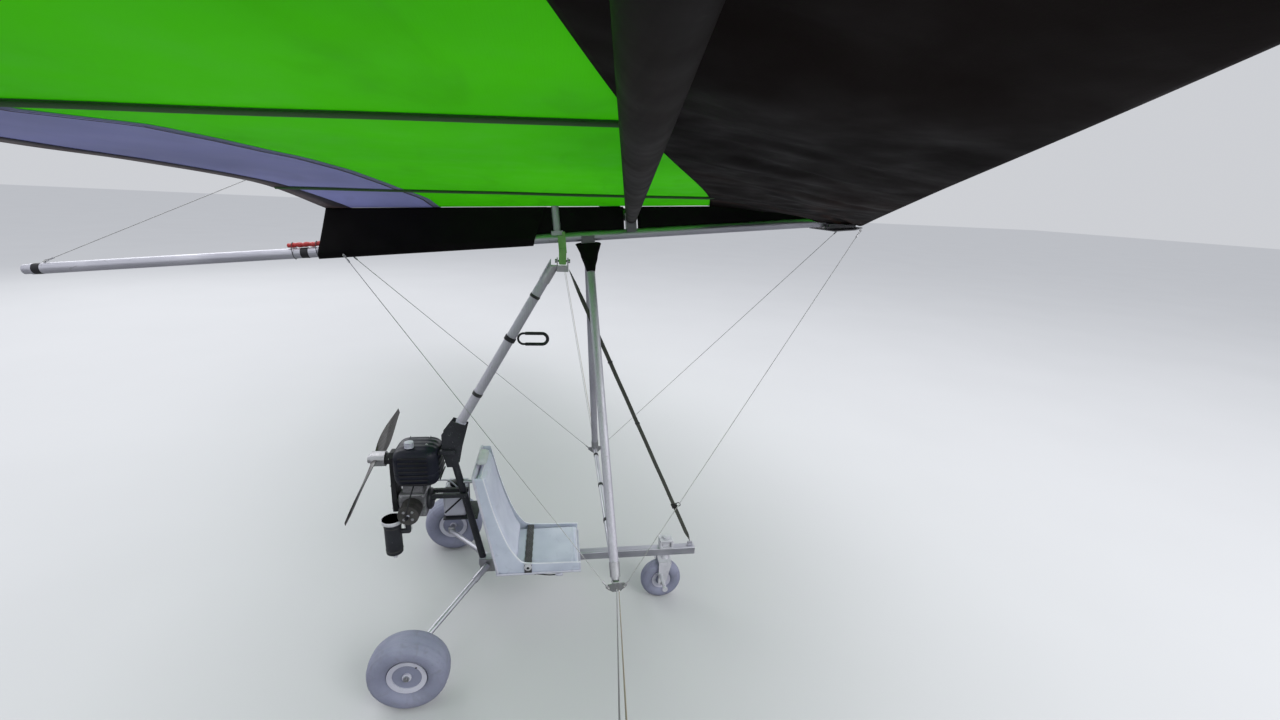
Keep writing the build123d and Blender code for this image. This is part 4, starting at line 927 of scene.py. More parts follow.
def surface_line(thing, spots, proud):
    """The given places dropped onto a piece's surface, this far proud of it."""
    inverse = thing.matrix_world.inverted()
    laid = []
    for spot in spots:
        _, place, normal, _ = thing.closest_point_on_mesh(inverse @ spot)
        laid.append(thing.matrix_world @ (place + normal * proud))
    return laid


BACK_FOOT, BACK_TOP = Vector((-0.372, 0, 0.408)), Vector((-0.482, 0, 1.0))
back_along = (BACK_TOP - BACK_FOOT).normalized()
back_out = Vector((back_along.z, 0, -back_along.x))
SHELL_T = 0.012


def back_place(up, out, y):
    """A place on the seat back: up along it, out from the shell's front face."""
    spot = BACK_FOOT + back_along * up + back_out * (SHELL_T + out)
    return trike(spot.x, y, spot.z)


def back_x(z):
    """X of the seat back's rear face at a height."""
    return BACK_FOOT.x + (z - BACK_FOOT.z) / (BACK_TOP.z - BACK_FOOT.z) * (BACK_TOP.x - BACK_FOOT.x)


def between(value, low, high):
    """A value kept between two others."""
    return min(max(value, low), high)


PAN_FRONT, PAN_FLOOR, PAN_TOP = 0.116, 0.3784, 0.43
PAD_HALF = 0.1965
BACK_SEAM, PAN_SEAM, SEAM_WIDE = 0.545, 0.07, 0.006
PIPING_R, WEB_THICK, KEEL_SIDE = 0.0034, 0.0022, 0.0252


def on_back(spot):
    """How far up the seat back a place is, and how far out from its shell."""
    local = Vector((spot.x - HANG_X, 0, spot.z)) - BACK_FOOT
    return local.dot(back_along), local.dot(back_out) - SHELL_T


def hold_back(spot):
    """Keeps the back cushion off its shell and off the pan cushion."""
    out = on_back(spot)[1] - 0.0006
    if out < 0:
        spot = spot - back_out * out
    spot.z = between(spot.z, PAN_TOP + 0.003, BACK_TOP.z + 0.0035)
    spot.y = between(spot.y, -PAD_HALF, PAD_HALF)
    return spot


def press_back(spot):
    """A sewn channel across the back cushion, and its crown."""
    up, out = on_back(spot)
    depth = math.exp(-((up - BACK_SEAM) / SEAM_WIDE) ** 2) * 0.005
    share = between((out - 0.02) / 0.02, 0.0, 1.0)
    crown = 0.007 * (1 - (spot.y / 0.19) ** 2)
    return spot + back_out * ((crown * 0.5 - depth) * share)


BACK_DEPTHS = (
    (0.442, 0.007), (0.442, 0.119), (0.48, 0.104), (0.53, 0.088), (0.6, 0.072), (0.69, 0.058), (0.8, 0.048),
    (0.99, 0.04), (0.99, 0.007),
)
back_shape = prism([(back_x(z) + SHELL_T + depth, z) for z, depth in BACK_DEPTHS], 0.183)
back_pad = cushion("back_pad", back_shape, seat_vinyl, 0.01, hold_back, press_back)
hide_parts("back_cushion")


def hold_pan(spot):
    """Keeps the pan cushion on its shell and under the back cushion."""
    spot.z = between(spot.z, PAN_FLOOR + 0.0004, PAN_TOP - 0.0004)
    spot.y = between(spot.y, -PAD_HALF, PAD_HALF)
    spot.x = max(spot.x, trike(back_x(spot.z) + SHELL_T + 0.002, 0, 0).x)
    return spot


def press_pan(spot):
    """A sewn channel across the pan cushion."""
    depth = math.exp(-((spot.x - HANG_X - PAN_SEAM) / SEAM_WIDE) ** 2) * 0.0045
    return spot - lift(depth * between((spot.z - 0.408) / 0.012, 0.0, 1.0))


pan_shape = prism(
    [(-0.348, PAN_FLOOR + 0.003), (PAN_FRONT - 0.012, PAN_FLOOR + 0.003), (PAN_FRONT - 0.012, 0.424), (-0.352, 0.424)],
    0.184,
)
pan_pad = cushion("pan_pad", pan_shape, seat_vinyl, 0.008, hold_pan, press_pan)
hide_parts("pan_cushion")

ROLL_X, ROLL_FLOOR = back_x(1.0) + 0.036, 1.001


def hold_roll(spot):
    """Keeps the head roll on top of the seat back."""
    spot.z = max(spot.z, ROLL_FLOOR)
    return spot


def press_roll(spot):
    """Terry folds along the roll."""
    folds = noise.noise(Vector((spot.x * 30, spot.y * 18, spot.z * 30)))
    return spot + lift(0.0016 * math.sin(spot.y * 90 + spot.z * 60) + 0.0028 * folds)


roll_shape = prism(
    [
        (ROLL_X - 0.027, 1.004), (ROLL_X + 0.027, 1.004), (ROLL_X + 0.029, 1.028), (ROLL_X + 0.016, 1.047),
        (ROLL_X - 0.016, 1.047), (ROLL_X - 0.029, 1.028),
    ],
    0.072,
)
head_pad = cushion("head_pad", roll_shape, towel_cloth, 0.006, hold_roll, press_roll, 0.004)
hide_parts("head_roll")

# Piping round both cushions and thread in their channels

piping = []
for y in (-0.186, 0.186):
    rim = [back_place(u, o, y) for u, o in ((0.045, 0.1), (0.2, 0.07), (0.37, 0.048), (0.585, 0.04))]
    piping.append(tube(surface_line(back_pad, curve_points(rim, 60), 0.0005), PIPING_R, 10))
    side = [trike(x, y, 0.418) for x in (-0.34, -0.1, PAN_FRONT - 0.02)]
    piping.append(tube(surface_line(pan_pad, curve_points(side, 60), 0.0002), PIPING_R, 10))
for pad, rim in (
    (pan_pad, [trike(PAN_FRONT - 0.008, y, 0.418) for y in (-0.18, 0.0, 0.18)]),
    (back_pad, [back_place(0.592, 0.036, y) for y in (-0.18, 0.0, 0.18)]),
):
    piping.append(tube(surface_line(pad, curve_points(rim, 40), 0.0002), PIPING_R, 10))
piece("seat_piping", piping, "trike", piping_vinyl)

STITCHES, STITCH_LONG, SEAM_HALF = 36, 0.006, 0.175
threads = []
for pad, seam_place in (
    (back_pad, lambda y: back_place(BACK_SEAM, 0.09, y)), (pan_pad, lambda y: trike(PAN_SEAM, y, 0.45)),
):
    for k in range(STITCHES):
        y = -SEAM_HALF + 2 * SEAM_HALF * k / STITCHES
        ends = surface_line(pad, [seam_place(y), seam_place(y + STITCH_LONG)], 0.0004)
        threads.append(tube(ends, 0.0006, 6))
piece("seat_stitches", threads, "trike", piping_vinyl)

# Moulded sides of the seat, from the shell's rear edge to the cushions' front line: (rear, front) places

SIDE_Y, SIDE_CROWN = 0.1984, 0.001
SIDE_RIBS = (
    ((back_x(0.997), 0.997), (back_x(0.997) + 0.056, 0.997)),
    ((back_x(0.8), 0.8), (back_x(0.8) + 0.066, 0.8)),
    ((back_x(0.65), 0.65), (back_x(0.655) + 0.083, 0.655)),
    ((back_x(0.52), 0.52), (back_x(0.545) + 0.106, 0.545)),
    ((back_x(0.43), 0.43), (back_x(0.478) + 0.136, 0.478)),
    ((-0.364, 0.384), (-0.212, 0.4455)),
    ((-0.27, 0.3775), (-0.135, 0.436)),
    ((-0.12, 0.3765), (-0.04, 0.4325)),
    ((0.01, 0.3765), (0.045, 0.4315)),
    ((PAN_FRONT - 0.01, 0.3775), (PAN_FRONT - 0.008, 0.428)),
)
RIB_STEPS = 100
rear_line, front_line = [curve_points([trike(x, 0, z) for x, z in line], RIB_STEPS) for line in zip(*SIDE_RIBS)]


def seat_side(side):
    """The crowned side sheet."""
    def on_side(i, j):
        k = round(i * (RIB_STEPS - 1))
        spot = rear_line[k].lerp(front_line[k], j)
        return Vector((spot.x, side * (SIDE_Y + SIDE_CROWN * math.sin(math.pi * j)), spot.z))

    return grid(on_side, RIB_STEPS, 10)


cloth("seat_sides", [seat_side(1), seat_side(-1)], seat_moulding, 0.0022, "trike")
lips = [tube([Vector((s.x, side * (SIDE_Y - 0.001), s.z)) for s in front_line], 0.0036, 10) for side in (1, -1)]
piece("seat_side_lips", lips, "trike", piping_vinyl)

# Edge trim and bolts of the seat shells

TRIM_Y, TRIM_Z = 0.2005, 0.372
shell_rim = [trike(back_x(z) + SHELL_T / 2, y, z) for y, z in (
    (-TRIM_Y, 0.385), (-TRIM_Y, 0.7), (-TRIM_Y, 0.9985), (-0.15, 1.0005), (0.15, 1.0005), (TRIM_Y, 0.9985),
    (TRIM_Y, 0.7), (TRIM_Y, 0.385),
)]
trim = [tube(straight(a, b, 24), 0.0072, 12) for a, b in zip(shell_rim, shell_rim[1:])]
for y in (-TRIM_Y, TRIM_Y):
    trim.append(tube(straight(trike(-0.368, y, TRIM_Z), trike(PAN_FRONT - 0.004, y, TRIM_Z), 30), 0.0066, 12))
piece("seat_edge_trim", trim, "trike", pale_plastic)
seat_bolts = []
for z in (0.56, 0.87):
    for y in (-0.13, 0.13):
        seat_bolts += bolt(trike(back_x(z) - 0.0002, y, z), -back_out, 0.006, 0.005)
for x in (-0.318, -0.282, 0.022, 0.058):
    for y in (-1, 1):
        seat_bolts += bolt(trike(x, y * KEEL_SIDE, 0.357), (0, y, 0), 0.0016, 0.0016)
piece("seat_bolts", seat_bolts, "trike", steel)

# Lap belt and its round buckle

BELT_X, BELT_HALF, BELT_TOP, BELT_LOW, BELT_WIDE = -0.19, 0.2024, 0.4322, 0.366, 0.042
near_half = (
    straight(trike(BELT_X, -BELT_HALF, BELT_LOW + 0.001), trike(BELT_X, -BELT_HALF, BELT_TOP - 0.012), 8)
    + [trike(BELT_X, -BELT_HALF + 0.0012, BELT_TOP - 0.005), trike(BELT_X, -BELT_HALF + 0.005, BELT_TOP - 0.0008)]
)
over = [
    trike(
        BELT_X + 0.001 * math.sin(k * 0.7), -BELT_HALF + 0.014 + (2 * BELT_HALF - 0.028) * k / 60,
        BELT_TOP + 0.0006 * math.sin(k * 0.45),
    ) for k in range(61)
]
belt_line = near_half + over + [Vector((s.x, -s.y, s.z)) for s in reversed(near_half)]
belt_strap = piece("lap_strap", strip(belt_line, Vector((BELT_WIDE, 0, 0)), WEB_THICK), "trike", black_web)
disc_at = trike(BELT_X, -BELT_HALF - 0.0012, BELT_TOP - 0.014)


def disc(profile, sides):
    """A round part of the buckle."""
    return lathe(profile, disc_at, (0, -1, 0), sides)


buckle = [
    disc([(0, 0), (0, 0.021), (0.0035, 0.0218), (0.007, 0.0205), (0.008, 0.015), (0.008, 0)], 40),
    disc([(0.008, 0.013), (0.01, 0.0126), (0.011, 0.01), (0.0105, 0)], 32),
    box(disc_at + Vector((0, -0.003, 0.0225)), (0.04, 0.004, 0.011), 0.0015),
]
piece("belt_buckle", buckle, "trike", bright_rim)
button = disc([(0.0102, 0.0085), (0.0116, 0.008), (0.012, 0.005), (0.0118, 0)], 28)
piece("buckle_button", button, "trike", black_plastic)
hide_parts("lap_belt")

# Tension strap from the mast head to the shackle

strap_low, strap_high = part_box("front_strap")
STRAP_TOP = Vector((strap_low.x + 0.002, 0, strap_high.z - 0.003))
STRAP_FOOT = Vector((strap_high.x - 0.002, 0, strap_low.z + 0.003))
STRAP_STEPS, STRAP_WIDE, STRAP_TWIST, TAIL_THICK, SLIDER_SHARE = 120, 0.0235, 1.22, 0.0018, 0.85
strap_axis = (STRAP_FOOT - STRAP_TOP).normalized()
strap_face = Vector((0, 1, 0)).cross(strap_axis).normalized()
main_line, wide = [], []
for k in range(STRAP_STEPS + 1):
    t = k / STRAP_STEPS
    main_line.append(STRAP_TOP.lerp(STRAP_FOOT, t) + strap_face * (0.0004 * math.sin(t * 40)))
    twist = STRAP_TWIST * min(1.0, t / 0.1, (1 - t) / 0.035)
    wide.append((Vector((0, 1, 0)) * math.cos(twist) + strap_face * math.sin(twist)) * STRAP_WIDE)


def second_layer(start, end, steps):
    """The strap's end, doubled back on its own face."""
    line, widths = [], []
    for k in range(steps + 1):
        share = start + (end - start) * k / steps
        widths.append(wide[round(STRAP_STEPS * share)])
        face = widths[-1].cross(strap_axis).normalized()
        line.append(STRAP_TOP.lerp(STRAP_FOOT, share) - face * WEB_THICK)
    return strip(line, widths, TAIL_THICK)


tension = piece(
    "tension_strap",
    [strip(main_line, wide, WEB_THICK), second_layer(SLIDER_SHARE, 0.988, 24), second_layer(0.004, 0.064, 12)],
    "trike", olive_web,
)
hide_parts("front_strap")
slider_at = STRAP_TOP.lerp(STRAP_FOOT, SLIDER_SHARE)
strap_wide = wide[round(STRAP_STEPS * SLIDER_SHARE)].normalized()
strap_turn = Matrix((strap_axis, strap_wide, strap_axis.cross(strap_wide))).transposed()


def strap_box(along, across, size):
    """A rounded bar of the slider, set along and across the strap."""
    return box(slider_at + strap_axis * along + strap_wide * across, size, 0.0015, strap_turn)


pull_ring = tube(
    [
        slider_at + strap_wide * (-0.029 + 0.012 * math.cos(a)) + strap_axis * (0.013 * math.sin(a) - 0.004)
        for a in turns(28)
    ], 0.0024, 8, closed=True,
)
piece(
    "strap_slider",
    [
        strap_box(-0.013, 0, (0.006, 0.036, 0.009)), strap_box(0, 0, (0.005, 0.034, 0.01)),
        strap_box(0.013, 0, (0.006, 0.036, 0.009)), pull_ring,
        strap_box(0, 0.0155, (0.031, 0.004, 0.006)), strap_box(0, -0.0155, (0.031, 0.004, 0.006)),
    ],
    "trike", black_plastic,
)
keepers = [box(STRAP_TOP.lerp(STRAP_FOOT, t), (0.01, 0.029, 0.0055), 0.0012, strap_turn) for t in (0.3, 0.52)]
piece("strap_keepers", keepers, "trike", black_web)

# Cloth covers over the tops of the downtubes

CORNER = Vector((-0.024, 0.69, -1.525))
DOWNTUBE_SPREAD = math.atan2(CORNER.y, -CORNER.z)
COVER_LONG, COVER_UP = 0.124, 0.023
COVER_HALF_TOP, COVER_HALF_FOOT, COVER_DEEP = 0.066, 0.0205, 0.0205
APEX = Vector((0.135, 0.03, -0.062))
corner_dir = CORNER.normalized()


def apex_cloth(side):
    """A cloth cone round the top of one downtube, flat and wide at the keel, snug on the tube below."""
    lie = Vector((corner_dir.x, corner_dir.y * side, corner_dir.z))
    out_from = Vector((0, math.cos(DOWNTUBE_SPREAD) * side, math.sin(DOWNTUBE_SPREAD)))

    def on_cover(i, j):
        angle = math.tau * j
        half = COVER_HALF_TOP + (COVER_HALF_FOOT - COVER_HALF_TOP) * i**0.8
        fold = 0.0013 * math.sin(i * 14 + angle * 2) * math.sin(math.pi * i) + 0.0006 * math.sin(angle * 5 + i * 6)
        spot = Vector((APEX.x + 0.002 * i, APEX.y * side, APEX.z)) + lie * ((COVER_LONG + COVER_UP) * i - COVER_UP)
        spot += Vector(((half + fold) * math.cos(angle), 0, 0)) + out_from * ((COVER_DEEP + fold) * math.sin(angle))
        return wing(*spot)

    return grid(on_cover, 30, 40, wrap=True)


for side, name in SIDES:
    cover = cloth("apex_cover_cloth_" + name, apex_cloth(side), black, 0.0014)
    if side > 0:
        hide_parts("apex_cover")

# Balloon tyres, rim bolts and valves

TYRE_RIBS, RIB_DEEP, RIM_DISH = 4, 0.0026, 0.3
WALL_ANGLE = math.radians(62)


def tyre_profile(radius, half, bead_r, bead_half):
    """Cross section of a balloon tyre, (along the axle, radius) pairs from bead to bead."""
    made = [(-bead_half * 0.86, bead_r - 0.0005), (-bead_half, bead_r + 0.004)]
    middle = (radius + bead_r) / 2 + (radius - bead_r) * 0.03
    tall = radius - middle
    low = middle - bead_r - 0.004
    for k in range(9):
        angle = WALL_ANGLE * (k / 8 - 1)
        shift = 0.00064 if k in (4, 6) else 0.0
        made.append((
            -half * math.cos(angle) ** 0.85 - shift,
            middle + low * math.sin(angle) * 1.02 / math.sin(WALL_ANGLE) * 0.94,
        ))
    steps = 4 * TYRE_RIBS
    for k in range(1, steps + 1):
        angle = math.pi / 2 * k / steps
        drop = RIB_DEEP if k % 4 in (1, 2) and k < steps - 1 else 0.0
        made.append((-half * math.cos(angle) ** 0.8, middle + (tall - drop) * math.sin(angle) ** 0.8))
    return made + [(-a, r) for a, r in reversed(made[:-1])]


def wheel(name, body, centre, radius, half, rim_r, rim_half, near):
    """Tyre, rim bolts and valve of one wheel; near is the sign of the side with the valve."""
    profile = tyre_profile(radius - 0.0004, half - 0.0012, rim_r + 0.0006, rim_half * 0.98)
    tyre = piece("balloon_" + name, lathe(profile, centre, (0, 1, 0), 52), body, tyre_rubber, sharp=55)
    axis = Vector((0, near, 0))
    parts = []
    for angle in turns(5, 0.3):
        spot = Vector((math.cos(angle), 0, math.sin(angle))) * rim_r * 0.52
        for way in (1, -1):
            parts += bolt(centre + spot + axis * way * rim_half * RIM_DISH, axis * way, rim_r * 0.062, 0.004)
    piece("rim_bolts_" + name, parts, body, steel)
    stem = lathe(
        [
            (0, 0.006), (0.004, 0.006), (0.006, 0.0042), (0.02, 0.004), (0.021, 0.0046), (0.028, 0.0046),
            (0.03, 0.003), (0.03, 0),
        ],
        centre + Vector((0.52, 0, 0.62)).normalized() * rim_r * 0.8 + axis * rim_half * 0.45,
        axis * 0.9 + Vector((0.1, 0, 0.12)), 16,
    )
    piece("valve_" + name, stem, body, black_plastic)
    return tyre


for side, name in SIDES:
    tyre = wheel(name, "wheel_" + name, trike(-0.75, side * 0.64, 0.195), 0.195, 0.08, 0.086, 0.055, side)
    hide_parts("tyre_" + name)
front = wheel("front", "front_wheel", trike(0.642, 0, 0.13), 0.13, 0.042, 0.052, 0.028, -1)
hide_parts("front_tyre")

# Stays: sleeves, thimbles and the second side wires

EYE_R, STAY_R, THIMBLE_LONG, SIDE_WIRE_OUT = 0.006, 0.0015, 0.026, 2.0


def stay_ends(node):
    """The eye centres of each cable of a node."""
    thing = nodes[node]
    made = bmesh.new()
    made.from_mesh(thing.data)
    bmesh.ops.remove_doubles(made, verts=made.verts, dist=1e-5)
    left = dict.fromkeys(made.verts)
    ends = []
    while left:
        stack, island = [left.popitem()[0]], []
        while stack:
            vertex = stack.pop()
            island.append(thing.matrix_world @ vertex.co)
            for edge in vertex.link_edges:
                other = edge.other_vert(vertex)
                if other in left:
                    del left[other]
                    stack.append(other)
        first = max(island, key=lambda p: (p - island[0]).length)
        last = max(island, key=lambda p: (p - first).length)
        if (last - first).length > 0.5:
            axis = (last - first).normalized()
            ends.append((first + axis * EYE_R, last - axis * EYE_R))
    made.free()
    return ends


def crimp(end, way, start):
    """A pressed sleeve on a cable, this far from its eye."""
    return lathe(
        [
            (start, 0.002), (start + 0.001, 0.0036), (start + 0.005, 0.004), (start + 0.016, 0.004),
            (start + 0.02, 0.0036), (start + 0.021, 0.002),
        ],
        end, way, 14,
    )


sleeves, thimbles, twins = [], [], []
for node in ("lower_stays", "upper_stays"):
    for first, last in stay_ends(node):
        axis = (last - first).normalized()
        across = square_to(axis)[1]
        for end, way in ((first, axis), (last, -axis)):
            sleeves.append(crimp(end, way, THIMBLE_LONG))
            loop = []
            for turn in turns(28):
                reach = 0.5 - 0.5 * math.cos(turn)
                loop.append(
                    end + way * (THIMBLE_LONG * reach - 0.0065 * (1 - reach))
                    + across * (0.0068 * math.sin(turn) * (1 - 0.55 * reach))
                )
            thimbles.append(tube(loop, 0.0013, 8, closed=True))
        if node == "lower_stays" and abs(first.y - last.y) > SIDE_WIRE_OUT:
            shift = Vector((0.011, 0, 0))
            twins.append(tube(straight(first + shift, last + shift, 30), STAY_R, 10))
            sleeves += [crimp(first + shift, axis, 0.05), crimp(last + shift, -axis, 0.05)]
piece("cable_sleeves", sleeves, "wing", steel)
piece("cable_thimbles", thimbles, "wing", steel)
piece("second_side_wires", twins, "wing", side_line)

# Lines from the kingpost to the trailing edge, with their tape loops

KING_TOP = 0.8
lines = []
for out in BATTEN_OUTS[:3]:
    for side in (1, -1):
        foot = sail_point(out, 0.985, side) + lift(0.004)
        lines.append(tube(straight(wing(KINGPOST_X - 0.012, side * 0.022, KING_TOP - 0.012), foot, 24), 0.0011, 8))
        loop = [foot + Vector((0.01 * math.cos(a), 0, 0.004 + 0.004 * math.sin(a))) for a in turns(16)]
        lines.append(tube(loop, 0.0016, 8, closed=True))
piece("luff_lines", lines, "wing", black_web)

# Seams on the sail and the nose cover

seams = []
for out in (2.42, 3.62):
    for side in (1, -1):
        for rise in (0.0034, -0.0012):
            seams.append(strip(chord_line(out, 0.01, band_front(out), side, rise), Vector((0, 0.012, 0)), 0.0008))
piece("panel_seams", seams, "wing", seam_green_painted_shade)
edge_tape = []
for side in (1, -1):
    tape = [sail_point(0.03 + (TIP_OUT - 0.05) * k / 120, 0.035, side) + lift(0.0018) for k in range(121)]
    edge_tape.append(strip(tape, Vector((0.018, 0, 0)), 0.0008))
piece("leading_edge_tape", edge_tape, "wing", hem_cloth)
NOSE_COVER_OUT = 0.2


def on_nose(i, j):
    """The cover over the nose, from the middle out to both sides."""
    out = NOSE_COVER_OUT * (j - 0.5) * 2
    share = 0.002 + 0.085 * i * (1 - 0.25 * abs(out) / NOSE_COVER_OUT)
    return sail_point(abs(out), share, 1 if out >= 0 else -1) + lift(0.0032 + 0.0016 * math.sin(math.pi * i) ** 2)


nose_cover = cloth("nose_cover", grid(on_nose, 16, 34), black, 0.0014)

# Wing keel's bands and rolled flag, rings on the base bar, sleeves at the crossbars' hinge

KEEL_REAR = -2.43
keel_dir = wing(1, 0, 0) - wing(0, 0, 0)
keel_bits = [
    lathe(
        [(0, 0.0252), (0.026, 0.0256), (0.03, 0.0264), (0.034, 0.0256), (0.036, 0.0252)],
        wing(-1.262, 0, 0), keel_dir, 36,
    ),
    lathe([(0, 0.0252), (0.03, 0.0256), (0.034, 0.0252)], wing(KEEL_REAR + 0.012, 0, 0), keel_dir, 36),
]
piece("keel_bands", keel_bits, "wing", black_plastic)
flag = [wing(-1.165 - 0.15 * k / 24, 0.003 * math.sin(k), 0.0395 + 0.0012 * math.sin(k * 0.8)) for k in range(25)]
flag_roll = tube(flag, lambda share: 0.0118 + 0.0014 * math.sin(share * 31), 16, 0.95)
piece("keel_flag", flag_roll, "wing", red_paint)
flag_ties = [
    tube([wing(x, 0.0275 * math.sin(a), 0.0125 + 0.04 * math.cos(a)) for a in turns(32)], 0.0016, 8, closed=True)
    for x in (-1.185, -1.295)
]
piece("flag_ties", flag_ties, "wing", black_web)
cord = curve_points([wing(-1.112, 0, 0.03), wing(-1.14, 0.004, 0.046), wing(-1.166, 0, 0.04)], 20)
piece("flag_cord", tube(cord, 0.0016, 8), "wing", black_web)

bar_ring = both_ends([(0.014, 0.0142), (0.014, 0.0158), (0.012, 0.0164)])
bar_rings = [lathe(bar_ring, wing(0.111, y, -1.587), (0, 1, 0), 28) for y in (-0.62, -0.2, 0.2, 0.62)]
piece("base_bar_rings", bar_rings, "wing", black_plastic)

CROSSBAR_R = 0.029
bar_places = [nodes["crossbars"].matrix_world @ v.co for v in nodes["crossbars"].data.vertices]
hinge_sleeves = []
for side in (1, -1):
    ends = []
    for near, far in ((0.0, 0.045), (3.5, 3.6)):
        rim = [p for p in bar_places if near < side * p.y < far]
        ends.append(Vector([(min(p[k] for p in rim) + max(p[k] for p in rim)) / 2 for k in range(3)]))
    hinge_sleeves.append(lathe(
        [(0.004, CROSSBAR_R), (0.004, 0.0302), (0.006, 0.0308), (0.066, 0.0308), (0.068, 0.0302), (0.068, CROSSBAR_R)],
        ends[0], (ends[1] - ends[0]).normalized(), 40,
    ))
piece("crossbar_sleeves", hinge_sleeves, "wing", black_plastic)

# The grip on the hand loop, rings and ties on the mast

LOOP_Z = 1.726
grip_line = [trike(-0.196 + 0.088 * k / 10, 0, 1.696) for k in range(10)]
grip_line += [trike(-0.1085 + 0.03 * math.sin(a), 0, LOOP_Z - 0.03 * math.cos(a)) for a in turns(32)[:17]]
grip_line += [Vector((s.x, 0, 2 * LOOP_Z - s.z)) for s in reversed(grip_line[:10])]
piece("loop_grip", tube(grip_line, 0.009, 16), "trike", black_plastic)
MAST_FOOT, MAST_R = Vector((-0.61, 0, 1.15)), 0.0262
mast_dir = (Vector((0, 0, HANG_Z)) - MAST_FOOT).normalized()


def mast_ring(z, half, out):
    """A ring round the mast at a height, this far proud of it."""
    spot = MAST_FOOT + mast_dir * ((z - MAST_FOOT.z) / mast_dir.z)
    profile = both_ends([(half, MAST_R), (half, MAST_R + out * 0.8), (half * 0.7, MAST_R + out)])
    return lathe(profile, trike(spot.x, 0, spot.z), mast_dir, 32)


piece("mast_ties", [mast_ring(1.41, 0.01, 0.0022), mast_ring(1.96, 0.008, 0.002)], "trike", black_web)
piece("mast_rings", [mast_ring(z, 0.005, 0.003) for z in (1.222, 1.246)], "trike", pale_plastic)

# Engine: shroud with its louvres, bolts, starter, plug and lead, intake, silencer and caps

SHROUD_AT, SHROUD_HALF, SHROUD_POWER = trike(-0.7935, 0, 1.009), Vector((0.1235, 0.1195, 0.1185)), 4.2


def on_shroud(i, j):
    """A rounded box with a shut line round it and shallow ribs on top."""
    turn, rise = math.tau * j, math.pi * (i - 0.5)
    way = Vector((math.cos(rise) * math.cos(turn), math.cos(rise) * math.sin(turn), math.sin(rise)))
    size = sum(abs(way[k] / SHROUD_HALF[k]) ** SHROUD_POWER for k in range(3)) ** (-1 / SHROUD_POWER)
    spot = way * size
    groove = 0.003 * math.exp(-((spot.z + 0.03) / 0.0035) ** 2)
    ribs = 0.0024 * (0.5 + 0.5 * math.sin(spot.y * 150)) * min(1.0, max(0.0, (spot.z - 0.085) / 0.02))
    spot *= 1 - (groove + ribs) / size
    return SHROUD_AT + spot


shroud = piece("engine_shroud", grid(on_shroud, 120, 144, wrap=True), "trike", blue_black, sharp=60)
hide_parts("engine_cowl")
X_AXIS, Y_AXIS, Z_AXIS = (1, 0, 0), (0, 1, 0), (0, 0, 1)
CYL_X, CRANK_Z = -0.8275, 0.77
CAP_X, CAP_Y = -0.825, -0.06
filler = [(0, 0.0245), (0.004, 0.0245), (0.006, 0.023), (0.024, 0.0226), (0.026, 0.021), (0.026, 0)]
piece("filler_cap", lathe(filler, trike(CAP_X, CAP_Y, 1.124), Z_AXIS, 40), "trike", pale_plastic)

louvres = []
for k in range(7):
    for y in (-0.1205, 0.1205):
        louvres.append(box(trike(-0.8, y, 0.925 + 0.026 * k), (0.15, 0.006, 0.01), 0.0028))
louvres += [box(trike(-0.6715, 0, 0.93 + 0.03 * k), (0.006, 0.15, 0.012), 0.0028) for k in range(6)]
piece("shroud_louvres", louvres, "trike", black_plastic)
engine_bolts = []
for x in (-0.85, -0.74):
    for y in (-0.03, 0.07):
        engine_bolts += bolt(trike(x, y, 1.1235), Z_AXIS, 0.005, 0.004)
for y, z in ((-0.036, 0.735), (0.036, 0.735), (-0.04, 0.88), (0.04, 0.88), (-0.03, 1.04), (0.03, 1.04)):
    engine_bolts += bolt(trike(-0.941, y, z), (-1, 0, 0), 0.0055, 0.005)
for x in (-0.885, -0.77):
    for z in (0.712, 0.77, 0.826):
        for y in (-1, 1):
            engine_bolts += bolt(trike(x, y * 0.075, z), (0, y, 0), 0.005, 0.004)
for a in turns(4, math.pi / 4):
    spot = trike(CYL_X + 0.031 * math.cos(a), -0.18, CRANK_Z + 0.031 * math.sin(a))
    engine_bolts += bolt(spot, (0, -1, 0), 0.0055, 0.006)
piece("engine_bolts", engine_bolts, "trike", steel)
starter = [
    lathe(
        [(0, 0.06), (0.006, 0.062), (0.016, 0.06), (0.024, 0.05), (0.027, 0.03), (0.024, 0.014), (0.024, 0)],
        trike(-0.7552, 0, CRANK_Z), X_AXIS, 40,
    ),
    lathe([(0, 0.012), (0.01, 0.012), (0.014, 0.01), (0.014, 0)], trike(-0.7312, 0.0, CRANK_Z), X_AXIS, 20),
]
for a in turns(12):
    spot = trike(-0.732, 0, CRANK_Z) + Vector((0, math.cos(a), math.sin(a))) * 0.038
    starter.append(box(spot, (0.004, 0.02, 0.005), 0.001, Matrix.Rotation(a, 3, "X")))
piece("starter_cover", starter, "trike", dark_paint)
plug = [(0, 0.008), (0.008, 0.008), (0.009, 0.0055), (0.024, 0.005), (0.024, 0)]
piece("spark_plug", lathe(plug, trike(CYL_X, -0.18, CRANK_Z), (0, -1, 0), 18), "trike", pale_plastic)
lead = curve_points([
    trike(CYL_X + x, y, CRANK_Z + z) for x, y, z in (
        (0, -0.202, 0), (0, -0.228, 0.01), (0.01, -0.232, 0.06), (0.02, -0.19, 0.115), (0.024, -0.119, 0.145)
    )
], 40)
lead_cap = lathe(
    [(0, 0.0085), (0.002, 0.0105), (0.02, 0.0105), (0.026, 0.008), (0.03, 0.005), (0.03, 0)],
    trike(CYL_X, -0.197, CRANK_Z), (0, -1, 0.25), 18,
)
piece("plug_lead", [tube(lead, 0.0036, 10), lead_cap], "trike", black_plastic)
